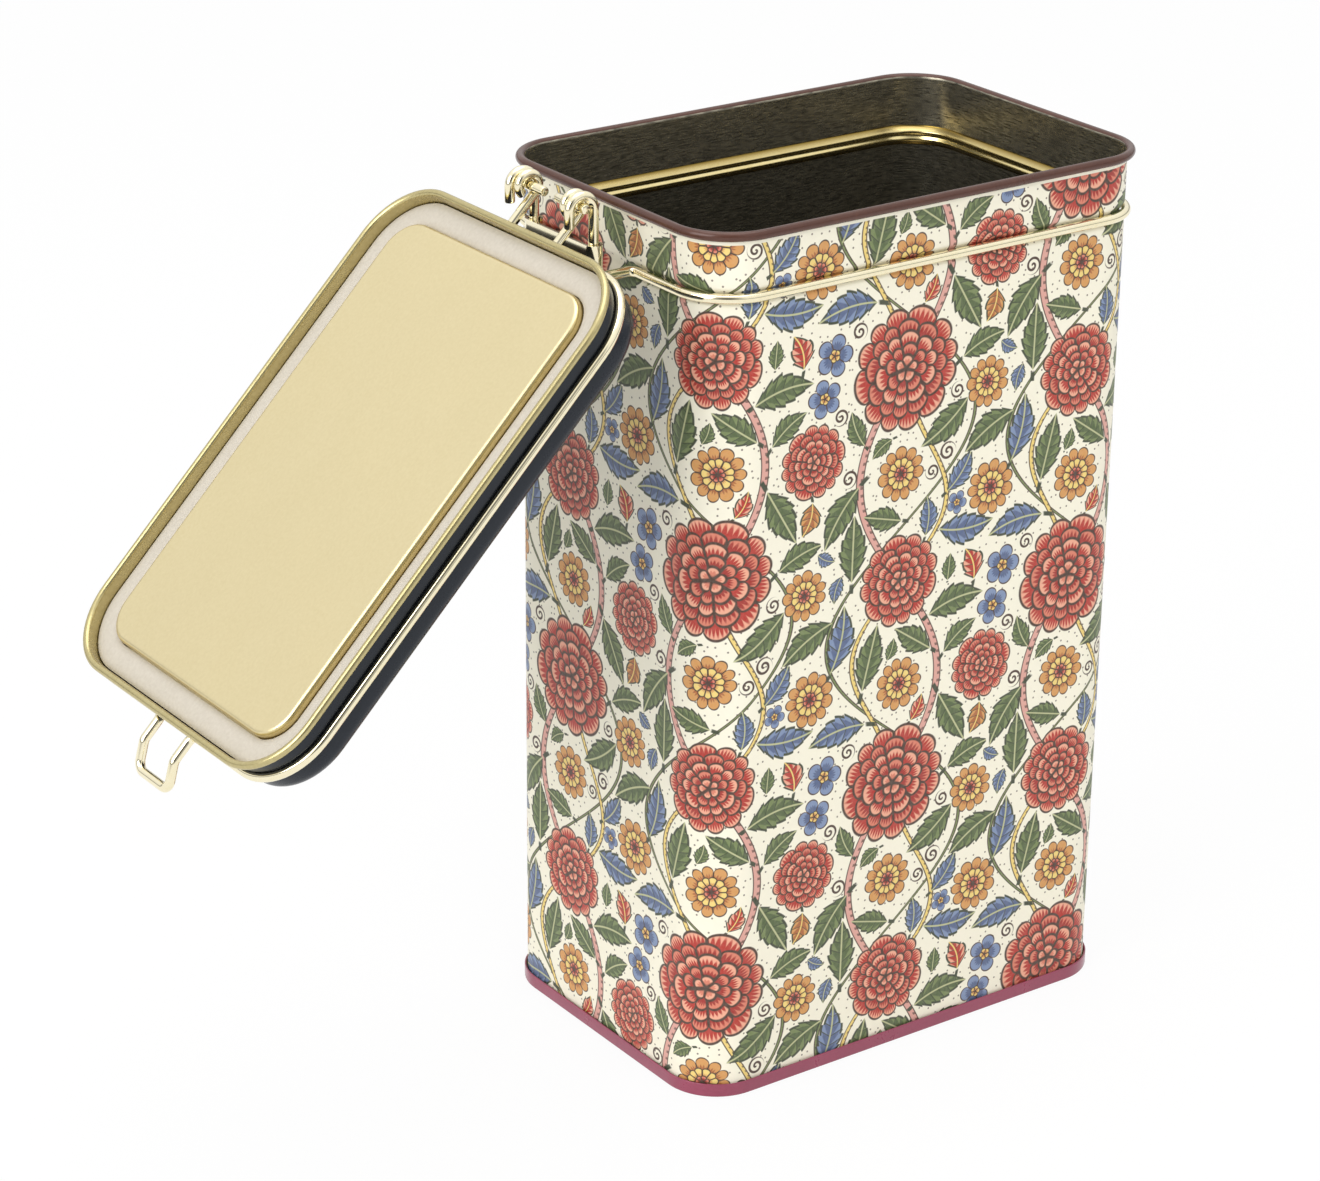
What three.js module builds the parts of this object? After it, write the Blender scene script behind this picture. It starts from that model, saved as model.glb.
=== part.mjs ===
// Tall rectangular tin box with a clip-top lid, shown open: a pressed and seamed tin body, a lid that
// turns on a wire hinge at the -X end, and a wire lever latch at the +X end.
// Millimetres, +Z up. The origin is the centre of the base panel's underside.
import * as THREE from 'three';

// Tin body
const bodyLength = 111;
const bodyWidth = 74.5;
const bodyHeight = 190;
const bodyCornerRadius = 11.5;
const bodySheet = 0.4;
const rimCurlRadius = 1.0;
const bodyGrooveBelowRim = 13.6;
const bodyGrooveDepth = 1.1;
const bodyGrooveHeight = 4.4;

// Seamed base
const panelRecess = 1.5;
const panelSheet = 0.4;
const seamHeight = 3.0;
const seamSheet = 0.4;
const seamChamfer = 0.25;
const seamFloor = 0.5;
const channelWidth = 2.6;
const countersinkWidth = 1.4;

// Lid shell
const lidSheet = 0.4;
const lidHeight = 12.4;
const lidOverlap = 2.1;
const lidCurlRadius = 0.8;
const lidTopRadius = 3.0;
const lidGrooveAboveEdge = 5.7;
const lidGrooveDepth = 1.0;
const lidGrooveHeight = 3.4;
const lidOpenDegrees = 225.5;

// Gasket and the inner plate that holds it
const gasketWidth = 5.5;
const gasketThickness = 1.5;
const gasketRound = 0.3;
const gasketPress = 0.4;
const plateSheet = 0.4;
const plateProud = 1.3;
const plateEdgeRadius = 1.0;

// Round wire bands
const bodyWireRadius = 1.05;
const lidWireRadius = 1.0;
const wireBendRadius = 1.8;

// Hinge
const hingeReach = 12.6;
const hookSpacing = 21.0;
const hookRadius = 2.85;
const hookTail = 3.3;
const pinRadius = 1.0;
const pinLength = 10.0;
const pinOverhang = 1.7;
const armSpacing = 16.0;
const eyeTail = 0.2;
const clipSheet = 0.5;
const clipHeight = 5.1;
const clipWrapDegrees = 235;

// Lid's finger loop
const loopWidth = 12.0;
const loopKink = 5.3;
const loopReach = 10.6;
const loopRise = 3.0;
const loopCornerRadius = 2.2;

// Latch
const latchWireRadius = 0.8;
const latchBarReach = 6.0;
const latchBarWidth = 14.0;
const leverWidth = 6.6;
const leverCrank = 7.0;
const leverWaist = 3.6;
const leverWaistOffset = 0.9;
const leverKnee = 12.0;
const leverLength = 22.0;
const leverKick = 8.2;
const leverBendRadius = 1.2;
const leverKneeRadius = 3.0;
const leverStub = 7.6;
const linkWidth = 18.6;
const linkCornerRadius = 1.8;
const linkSeatReach = 5.3;
const linkHookTurnDegrees = 50;

// Clearances
const fitGap = 0.25;
const seatGap = 0.3;

// Fineness of the rounded forms
const cornerSteps = 5;
const curlSteps = 7;
const grooveSteps = 6;
const bandSides = 12;
const latchSides = 8;
const pinSides = 12;
const bendStepDegrees = 22.5;
const bendStepSlack = 0.01;
const stationGap = 0.1;
const rimCurlDegrees = 280;
const lidCurlDegrees = 250;

// Places worked out from the sizes
const halfLength = bodyLength / 2;
const halfWidth = bodyWidth / 2;
const rimTop = bodyHeight - panelRecess;
const rimOutset = 2 * rimCurlRadius - bodySheet;
const bodyGrooveZ = rimTop - bodyGrooveBelowRim;
const bodyWireOutset = seatGap + bodyWireRadius - bodyGrooveDepth;
const lidSkirtInset = rimOutset + seatGap;
const lidSkirtOutset = lidSkirtInset + lidSheet;
const lidEdgeZ = rimTop - lidOverlap;
const lidTopZ = lidEdgeZ + lidHeight;
const lidGrooveZ = lidEdgeZ + lidGrooveAboveEdge;
const lidEdgeOutset = lidSkirtInset + 2 * lidCurlRadius;
const lidWireOutset = lidSkirtOutset - lidGrooveDepth + seatGap + lidWireRadius;
const gasketZ = rimTop + gasketPress;
const gasketOutset = lidSkirtInset - fitGap;
const plateEdge = gasketOutset - gasketWidth - fitGap;
const eyeRadius = pinRadius + fitGap + lidWireRadius;
const pivotX = -(halfLength + hingeReach);
const pivotZ = lidGrooveZ - eyeRadius;
const latchX = halfLength + latchBarReach;
const leverEyeRadius = bodyWireRadius + fitGap + latchWireRadius;
const linkEyeRadius = latchWireRadius + fitGap + latchWireRadius;
const linkPivotX = latchX - leverEyeRadius;
const linkPivotZ = bodyGrooveZ - leverCrank;

// Points of an arc in a plane, from one angle to another.
function arcPoints(centreA, centreB, radius, fromDegrees, toDegrees, steps) {
  const points = [];
  for (let step = 0; step <= steps; step += 1) {
    const angle = THREE.MathUtils.degToRad(fromDegrees + ((toDegrees - fromDegrees) * step) / steps);
    points.push([centreA + radius * Math.cos(angle), centreB + radius * Math.sin(angle)]);
  }
  return points;
}

// The body's rounded rectangle, seen from above and grown outwards by an offset.
function outline(offset) {
  const points = [];
  const centreX = halfLength - bodyCornerRadius;
  const centreY = halfWidth - bodyCornerRadius;
  const radius = bodyCornerRadius + offset;
  const quarters = [[1, 1], [-1, 1], [-1, -1], [1, -1]];
  quarters.forEach(([signX, signY], quarter) => {
    const start = 90 * quarter;
    points.push(...arcPoints(signX * centreX, signY * centreY, radius, start, start + 90, cornerSteps));
  });
  return points;
}

// A section of [offset, height] points carried round the outline, with the metal on its left.
// A ring closes on itself; a pan runs from the middle of its underside to the middle of its top.
function sweptSolid(section, isPan) {
  const positions = [];
  const indices = [];
  const count = outline(0).length;
  section.forEach(([offset, z]) => {
    outline(offset).forEach(([x, y]) => positions.push(x, y, z));
  });
  const bands = isPan ? section.length - 1 : section.length;
  for (let band = 0; band < bands; band += 1) {
    const above = (band + 1) % section.length;
    for (let i = 0; i < count; i += 1) {
      const j = (i + 1) % count;
      const near = band * count;
      const far = above * count;
      indices.push(near + i, near + j, far + j);
      indices.push(near + i, far + j, far + i);
    }
  }
  if (isPan) {
    const last = (section.length - 1) * count;
    const underside = positions.length / 3;
    const topside = underside + 1;
    positions.push(0, 0, section[0][1]);
    positions.push(0, 0, section[section.length - 1][1]);
    for (let i = 0; i < count; i += 1) {
      const j = (i + 1) % count;
      indices.push(underside, j, i);
      indices.push(topside, last + i, last + j);
    }
  }
  const geometry = new THREE.BufferGeometry();
  geometry.setAttribute('position', new THREE.Float32BufferAttribute(positions, 3));
  geometry.setIndex(indices);
  geometry.computeVertexNormals();
  return geometry;
}

// A groove pressed into a wall: [offset, height] points from its lower edge to its upper edge.
function grooveProfile(wallOffset, centreZ, depth, height) {
  const points = [];
  for (let step = 0; step <= grooveSteps; step += 1) {
    const share = step / grooveSteps;
    const drop = depth * (0.5 - 0.5 * Math.cos(2 * Math.PI * share));
    points.push([wallOffset - drop, centreZ + height * (share - 0.5)]);
  }
  return points;
}

// A wire's centre line: straight runs between corners, each rounded by its own bend radius.
class WirePath extends THREE.Curve {
  constructor(corners) {
    super();
    this.places = [];
    this.tangents = [];
    const points = corners.map(([x, y, z]) => new THREE.Vector3(x, y, z));
    const last = points.length - 1;
    this.addStation(points[0], points[1].clone().sub(points[0]).normalize());
    for (let i = 1; i < last; i += 1) {
      this.addBend(points[i - 1], points[i], points[i + 1], corners[i][3]);
    }
    this.addStation(points[last], points[last].clone().sub(points[last - 1]).normalize());
  }

  addStation(place, tangent) {
    const previous = this.places[this.places.length - 1];
    if (previous && previous.distanceTo(place) < stationGap) {
      return;
    }
    this.places.push(place);
    this.tangents.push(tangent);
  }

  addBend(before, corner, after, radius) {
    const inward = corner.clone().sub(before).normalize();
    const outward = after.clone().sub(corner).normalize();
    const turn = inward.angleTo(outward);
    const setback = radius * Math.tan(turn / 2);
    const side = outward.clone().addScaledVector(inward, -Math.cos(turn)).normalize();
    const start = corner.clone().addScaledVector(inward, -setback);
    const centre = start.clone().addScaledVector(side, radius);
    const share = THREE.MathUtils.radToDeg(turn) / bendStepDegrees;
    const steps = Math.max(2, Math.ceil(share - bendStepSlack));
    for (let step = 0; step <= steps; step += 1) {
      const angle = (turn * step) / steps;
      const place = centre.clone().addScaledVector(side, -radius * Math.cos(angle));
      place.addScaledVector(inward, radius * Math.sin(angle));
      const tangent = inward.clone().multiplyScalar(Math.cos(angle));
      tangent.addScaledVector(side, Math.sin(angle));
      this.addStation(place, tangent);
    }
  }

  stationAt(share) {
    return Math.round(share * (this.places.length - 1));
  }

  getPointAt(share) {
    return this.places[this.stationAt(share)].clone();
  }

  getTangentAt(share) {
    return this.tangents[this.stationAt(share)].clone();
  }
}

// A round wire along corners of [x, y, z, bend radius].
function wireSolid(corners, radius, sides) {
  const path = new WirePath(corners);
  const circle = [];
  for (let side = 0; side < sides; side += 1) {
    const angle = (2 * Math.PI * side) / sides;
    circle.push(new THREE.Vector2(radius * Math.cos(angle), radius * Math.sin(angle)));
  }
  const options = { steps: path.places.length - 1, extrudePath: path, bevelEnabled: false };
  return new THREE.ExtrudeGeometry(new THREE.Shape(circle), options);
}

// Half of a wire that is the same on both sides, followed by its mirror image back to the start.
function bothSides(halfCorners) {
  const mirrored = halfCorners.map(([x, y, z, radius]) => [x, -y, z, radius]);
  return halfCorners.concat(mirrored.reverse());
}

// Side wall with its pressed wire groove and the open curl rolled outwards at the rim.
function bodyWallGeometry() {
  const curlZ = rimTop - rimCurlRadius;
  const curlD = rimCurlRadius - bodySheet;
  const footZ = seamFloor - panelRecess + seatGap;
  const curlEnd = 180 - rimCurlDegrees;
  const groove = grooveProfile(0, bodyGrooveZ, bodyGrooveDepth, bodyGrooveHeight);
  const ridge = grooveProfile(-bodySheet, bodyGrooveZ, bodyGrooveDepth, bodyGrooveHeight);
  const section = [
    [0, footZ],
    ...groove,
    ...arcPoints(curlD, curlZ, rimCurlRadius - bodySheet, 180, curlEnd, curlSteps),
    ...arcPoints(curlD, curlZ, rimCurlRadius, curlEnd, 180, curlSteps),
    ...ridge.reverse(),
    [-bodySheet, footZ],
  ];
  return sweptSolid(section, false);
}

// Base panel, countersunk and drawn down to the seam that grips the foot of the wall.
function basePanelGeometry() {
  const footZ = -panelRecess;
  const floorZ = footZ + seamFloor;
  const lipInner = seatGap;
  const lipOuter = seatGap + seamSheet;
  const seamTop = footZ + seamHeight;
  const panelEdge = -(channelWidth + countersinkWidth);
  const slopeInset = seatGap;
  const section = [
    [panelEdge, 0],
    [-channelWidth, footZ],
    [lipOuter - seamChamfer, footZ],
    [lipOuter, footZ + seamChamfer],
    [lipOuter, seamTop - seamChamfer],
    [lipOuter - seamChamfer / 2, seamTop],
    [lipInner, seamTop - seamChamfer / 2],
    [lipInner, floorZ],
    [slopeInset - channelWidth, floorZ],
    [panelEdge + slopeInset, panelSheet],
  ];
  return sweptSolid(section, true);
}

// Lid shell: flat top, round shoulder, wire groove and an open curl rolled outwards at the edge.
function lidShellGeometry() {
  const curlZ = lidEdgeZ + lidCurlRadius;
  const curlD = lidSkirtInset + lidCurlRadius;
  const shoulderD = lidSkirtOutset - lidTopRadius;
  const shoulderZ = lidTopZ - lidTopRadius;
  const innerRadius = lidTopRadius - lidSheet;
  const curlEnd = 180 + lidCurlDegrees;
  const groove = grooveProfile(lidSkirtOutset, lidGrooveZ, lidGrooveDepth, lidGrooveHeight);
  const ridge = grooveProfile(lidSkirtInset, lidGrooveZ, lidGrooveDepth, lidGrooveHeight);
  const section = [
    ...arcPoints(shoulderD, shoulderZ, innerRadius, 90, 0, cornerSteps),
    ...ridge.reverse(),
    ...arcPoints(curlD, curlZ, lidCurlRadius, 180, curlEnd, curlSteps),
    ...arcPoints(curlD, curlZ, lidCurlRadius - lidSheet, curlEnd, 180, curlSteps),
    ...groove,
    ...arcPoints(shoulderD, shoulderZ, lidTopRadius, 0, 90, cornerSteps),
  ];
  return sweptSolid(section, true);
}

// Inner plate: a raised panel that enters the mouth, and the flange that backs the gasket.
function lidInnerPlateGeometry() {
  const faceZ = gasketZ - plateProud;
  const flangeZ = gasketZ + gasketThickness + fitGap;
  const flangeEdge = lidSkirtInset - lidGrooveDepth - seatGap;
  const roundD = plateEdge - plateEdgeRadius;
  const roundZ = faceZ + plateEdgeRadius;
  const section = [
    ...arcPoints(roundD, roundZ, plateEdgeRadius, 270, 360, cornerSteps),
    [plateEdge, flangeZ],
    [flangeEdge, flangeZ],
    [flangeEdge, flangeZ + plateSheet],
    [plateEdge - plateSheet, flangeZ + plateSheet],
    ...arcPoints(roundD, roundZ, plateEdgeRadius - plateSheet, 360, 270, cornerSteps),
  ];
  return sweptSolid(section, true);
}

// Flat sealing ring that lies round the raised panel and meets the rim when the lid is shut.
function lidGasketGeometry() {
  const inner = gasketOutset - gasketWidth;
  const top = gasketZ + gasketThickness;
  const section = [
    [inner + gasketRound, gasketZ],
    [gasketOutset - gasketRound, gasketZ],
    [gasketOutset, gasketZ + gasketRound],
    [gasketOutset, top],
    [inner, top],
    [inner, gasketZ + gasketRound],
  ];
  return sweptSolid(section, false);
}

// Body wire: hinge hooks at one end, a run in the groove, and the latch bar at the other end.
function bodyWireGeometry() {
  const y = -hookSpacing / 2;
  const crown = pivotZ + pinRadius + fitGap + bodyWireRadius;
  const tailX = pivotX - hookRadius;
  const legX = pivotX + hookRadius;
  const runX = halfLength + bodyWireOutset;
  const runY = -(halfWidth + bodyWireOutset);
  const runRadius = bodyCornerRadius + bodyWireOutset;
  const barY = -latchBarWidth / 2;
  const z = bodyGrooveZ;
  return wireSolid(bothSides([
    [tailX, y, crown - hookRadius - hookTail, 0],
    [tailX, y, crown, hookRadius],
    [legX, y, crown, hookRadius],
    [legX, y, z, wireBendRadius],
    [-runX, y, z, wireBendRadius],
    [-runX, runY, z, runRadius],
    [runX, runY, z, runRadius],
    [runX, barY, z, wireBendRadius],
    [latchX, barY, z, wireBendRadius],
  ]), bodyWireRadius, bandSides);
}

// Lid wire: an eye round each hinge pin, a run in the lid's groove, and the upturned finger loop.
function lidWireGeometry() {
  const y = -armSpacing / 2;
  const runX = halfLength + lidWireOutset;
  const runY = -(halfWidth + lidWireOutset);
  const runRadius = bodyCornerRadius + lidWireOutset;
  const loopY = -loopWidth / 2;
  const kinkX = halfLength + lidEdgeOutset + loopKink;
  const tipX = halfLength + lidEdgeOutset + loopReach;
  const z = lidGrooveZ;
  return wireSolid(bothSides([
    [pivotX + eyeRadius, y, pivotZ + eyeTail, 0],
    [pivotX + eyeRadius, y, pivotZ - eyeRadius, eyeRadius],
    [pivotX - eyeRadius, y, pivotZ - eyeRadius, eyeRadius],
    [pivotX - eyeRadius, y, z, eyeRadius],
    [-runX, y, z, wireBendRadius],
    [-runX, runY, z, runRadius],
    [runX, runY, z, runRadius],
    [runX, loopY, z, wireBendRadius],
    [kinkX, loopY, z, loopCornerRadius],
    [tipX, loopY, z + loopRise, loopCornerRadius],
  ]), lidWireRadius, bandSides);
}

// Hinge clip: a flat strap whose ends are rolled round the two hook legs.
function hingeClipGeometry() {
  const legX = pivotX + hookRadius;
  const legY = hookSpacing / 2;
  const inner = bodyWireRadius + fitGap;
  const outer = inner + clipSheet;
  const wrapEnd = 180 - clipWrapDegrees;
  const upper = [
    ...arcPoints(legX, legY, outer, 180, wrapEnd, curlSteps),
    ...arcPoints(legX, legY, inner, wrapEnd, 180, curlSteps),
  ];
  const lower = upper.map(([x, y]) => [x, -y]).reverse();
  const corners = upper.concat(lower).map(([x, y]) => new THREE.Vector2(x, y));
  const options = { depth: clipHeight, bevelEnabled: false };
  const geometry = new THREE.ExtrudeGeometry(new THREE.Shape(corners), options);
  geometry.translate(0, 0, bodyGrooveZ + wireBendRadius + fitGap);
  return geometry;
}

// Hinge pin on the pivot line, reaching from the middle of the hinge out through one hook.
function hingePinGeometry(side) {
  const geometry = new THREE.CylinderGeometry(pinRadius, pinRadius, pinLength, pinSides);
  geometry.translate(pivotX, side * (hookSpacing / 2 + pinOverhang - pinLength / 2), pivotZ);
  return geometry;
}

// Latch lever: stubs for the link, a pinched hook over the latch bar, and a kicked-out thumb loop.
function latchLeverGeometry() {
  const y = -leverWidth / 2;
  const z = bodyGrooveZ;
  const backX = latchX - leverEyeRadius;
  const frontX = latchX + leverEyeRadius;
  const waistX = latchX + leverWaistOffset;
  return wireSolid(bothSides([
    [backX, y - leverStub, linkPivotZ, 0],
    [backX, y, linkPivotZ, leverBendRadius],
    [backX, y, z + leverEyeRadius, leverEyeRadius],
    [frontX, y, z + leverEyeRadius, leverEyeRadius],
    [frontX, y, z - leverEyeRadius / 2, leverBendRadius],
    [waistX, y, z - leverWaist, leverBendRadius],
    [waistX, y, z - leverKnee, leverKneeRadius],
    [waistX + leverKick, y, z - leverLength, leverBendRadius],
  ]), latchWireRadius, latchSides);
}

// Latch link about its own pivot: a wire frame hooked round the lever's stubs.
function latchLinkGeometry() {
  const y = -linkWidth / 2;
  const r = linkEyeRadius;
  const seatX = halfLength + linkSeatReach;
  const seatZ = lidGrooveZ + lidWireRadius + seatGap + latchWireRadius;
  const reach = Math.hypot(seatX - linkPivotX, seatZ - linkPivotZ);
  const drop = Math.sqrt(reach * reach - r * r);
  const turn = THREE.MathUtils.degToRad(linkHookTurnDegrees);
  const setback = r * Math.tan(turn / 2);
  const tail = setback + fitGap;
  const geometry = wireSolid(bothSides([
    [tail * Math.sin(turn) - r, y, -setback - tail * Math.cos(turn), 0],
    [-r, y, -setback, r],
    [-r, y, r, r],
    [r, y, r, r],
    [r, y, -drop, linkCornerRadius],
  ]), latchWireRadius, latchSides);
  geometry.rotateY(Math.atan2(r, drop));
  return geometry;
}

function finish(color, roughness, metalness) {
  return new THREE.MeshStandardMaterial({ color, roughness, metalness });
}

function piece(name, geometry, material) {
  const mesh = new THREE.Mesh(geometry, material);
  mesh.name = name;
  return mesh;
}

const printedTin = finish(0xf2ecd6, 0.45, 0.0);
const seamPaint = finish(0x943a56, 0.4, 0.1);
const darkLacquer = finish(0x3a3b40, 0.35, 0.1);
const goldLacquer = finish(0xdfcfa0, 0.35, 0.8);
const sealRubber = finish(0xe4dccd, 0.7, 0.0);
const brassWire = finish(0xe0d09a, 0.2, 1.0);

const tin = new THREE.Group();

tin.add(piece('body_wall', bodyWallGeometry(), printedTin));
tin.add(piece('base_panel', basePanelGeometry(), seamPaint));
tin.add(piece('body_wire', bodyWireGeometry(), brassWire));
tin.add(piece('hinge_clip', hingeClipGeometry(), brassWire));
tin.add(piece('latch_lever', latchLeverGeometry(), brassWire));

const latchLink = piece('latch_link', latchLinkGeometry(), brassWire);
latchLink.position.set(linkPivotX, 0, linkPivotZ);
tin.add(latchLink);

// The lid's pieces are drawn shut and turned about the hinge line to the open position.
const lid = new THREE.Group();
const lidPieces = [
  piece('lid_shell', lidShellGeometry(), darkLacquer),
  piece('lid_inner_plate', lidInnerPlateGeometry(), goldLacquer),
  piece('lid_gasket', lidGasketGeometry(), sealRubber),
  piece('lid_wire', lidWireGeometry(), brassWire),
  piece('hinge_pin_left', hingePinGeometry(1), brassWire),
  piece('hinge_pin_right', hingePinGeometry(-1), brassWire),
];
lidPieces.forEach((mesh) => {
  mesh.position.set(-pivotX, 0, -pivotZ);
  lid.add(mesh);
});
lid.position.set(pivotX, 0, pivotZ);
lid.rotation.y = -THREE.MathUtils.degToRad(lidOpenDegrees);
tin.add(lid);

export default tin;
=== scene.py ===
"""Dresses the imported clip-top tin: its printed body, its lid, its wires and its latch.

Lengths are millimetres and angles are degrees, unless a name says otherwise. The meshes are scaled
to metres as they are made. The origin is the centre of the base panel's underside, with Z up.
"""

import logging
import math
from dataclasses import dataclass, field
from enum import Enum
from typing import Callable, Sequence

import bpy
from mathutils import Matrix, Vector


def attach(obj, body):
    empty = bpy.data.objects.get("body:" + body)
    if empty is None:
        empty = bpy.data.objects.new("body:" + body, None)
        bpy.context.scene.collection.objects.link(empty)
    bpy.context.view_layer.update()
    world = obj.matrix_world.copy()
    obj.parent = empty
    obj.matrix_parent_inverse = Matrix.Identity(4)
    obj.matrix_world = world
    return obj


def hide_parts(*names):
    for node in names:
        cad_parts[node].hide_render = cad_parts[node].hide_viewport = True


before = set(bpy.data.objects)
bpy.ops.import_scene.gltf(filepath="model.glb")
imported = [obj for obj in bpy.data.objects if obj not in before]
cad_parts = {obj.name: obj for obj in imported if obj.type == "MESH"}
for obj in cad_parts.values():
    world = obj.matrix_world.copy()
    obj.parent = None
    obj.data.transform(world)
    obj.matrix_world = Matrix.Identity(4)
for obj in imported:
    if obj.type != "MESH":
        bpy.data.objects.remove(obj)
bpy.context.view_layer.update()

METRE = 0.001
PRINT_PLACE = "print_place"

Pair = tuple[float, float]
Colour = tuple[float, float, float, float]
Ring = tuple[Vector, Vector, float]

log = logging.getLogger("clip_top_tin")


def ink(red: int, green: int, blue: int) -> Colour:
    """Turns a colour written as it shows on a screen, 0 to 255, into Blender's linear colour.

    Args:
        red: Red part, 0 to 255.
        green: Green part, 0 to 255.
        blue: Blue part, 0 to 255.

    Returns:
        The linear colour with full alpha.
    """
    parts = []
    for value in (red, green, blue):
        share = value / 255
        parts.append(share / 12.92 if share <= 0.04045 else ((share + 0.055) / 1.055) ** 2.4)
    return (parts[0], parts[1], parts[2], 1.0)


class Body(Enum):
    """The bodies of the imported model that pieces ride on."""

    TIN = "tin"
    LID = "lid"
    LEVER = "lever"
    LINK = "link"


class Slot(Enum):
    """The record's material slots."""

    PRINTED_TIN = "printed_tin"
    SEAM_PAINT = "seam_paint"
    DARK_LACQUER = "dark_lacquer"
    GOLD_LACQUER = "gold_lacquer"
    SEAL_RUBBER = "seal_rubber"
    BRASS_WIRE = "brass_wire"


# Shader nodes


@dataclass(frozen=True)
class Signal:
    """One output of a shader node, with the arithmetic that builds further nodes from it."""

    net: "NodeNet"
    socket: bpy.types.NodeSocket

    def __add__(self, other: "Source") -> "Signal":
        """Returns the sum."""
        return self.net.math("ADD", self, other)

    def __sub__(self, other: "Source") -> "Signal":
        """Returns the difference."""
        return self.net.math("SUBTRACT", self, other)

    def __rsub__(self, other: "Source") -> "Signal":
        """Returns the difference from a number."""
        return self.net.math("SUBTRACT", other, self)

    def __mul__(self, other: "Source") -> "Signal":
        """Returns the product."""
        return self.net.math("MULTIPLY", self, other)

    def sine(self) -> "Signal":
        """Returns the sine of this angle in radians."""
        return self.net.math("SINE", self)

    def cosine(self) -> "Signal":
        """Returns the cosine of this angle in radians."""
        return self.net.math("COSINE", self)

    def size(self) -> "Signal":
        """Returns the value without its sign."""
        return self.net.math("ABSOLUTE", self)

    def power(self, exponent: "Source") -> "Signal":
        """Returns the value raised to a power."""
        return self.net.math("POWER", self, exponent)

    def above(self, edge: "Source") -> "Signal":
        """Returns 1 where the value is above an edge, and else 0."""
        return self.net.math("GREATER_THAN", self, edge)

    def times_plus(self, factor: "Source", term: "Source") -> "Signal":
        """Returns the value times a factor plus a term."""
        return self.net.math("MULTIPLY_ADD", self, factor, term)

    def fraction(self) -> "Signal":
        """Returns what is left above the whole number below."""
        return self.net.math("FRACT", self)

    def step(self, edge: "Source", steepness: float) -> "Signal":
        """Returns a mask that rises from 0 to 1 just above an edge.

        Args:
            edge: The value at which the mask starts to rise.
            steepness: One over the width over which the mask rises.

        Returns:
            The mask.
        """
        rise = self.net.math("SUBTRACT", self, edge) if isinstance(edge, Signal) or edge else self
        return self.net.math("MULTIPLY", rise, steepness, clamp=True)


Source = Signal | float
Paint = Signal | Colour


class MixKind(Enum):
    """What a Mix node blends: its data type, and the places of its two inputs and its output."""

    COLOUR = ("RGBA", 6, 7, 2)
    VECTOR = ("VECTOR", 4, 5, 1)


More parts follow.
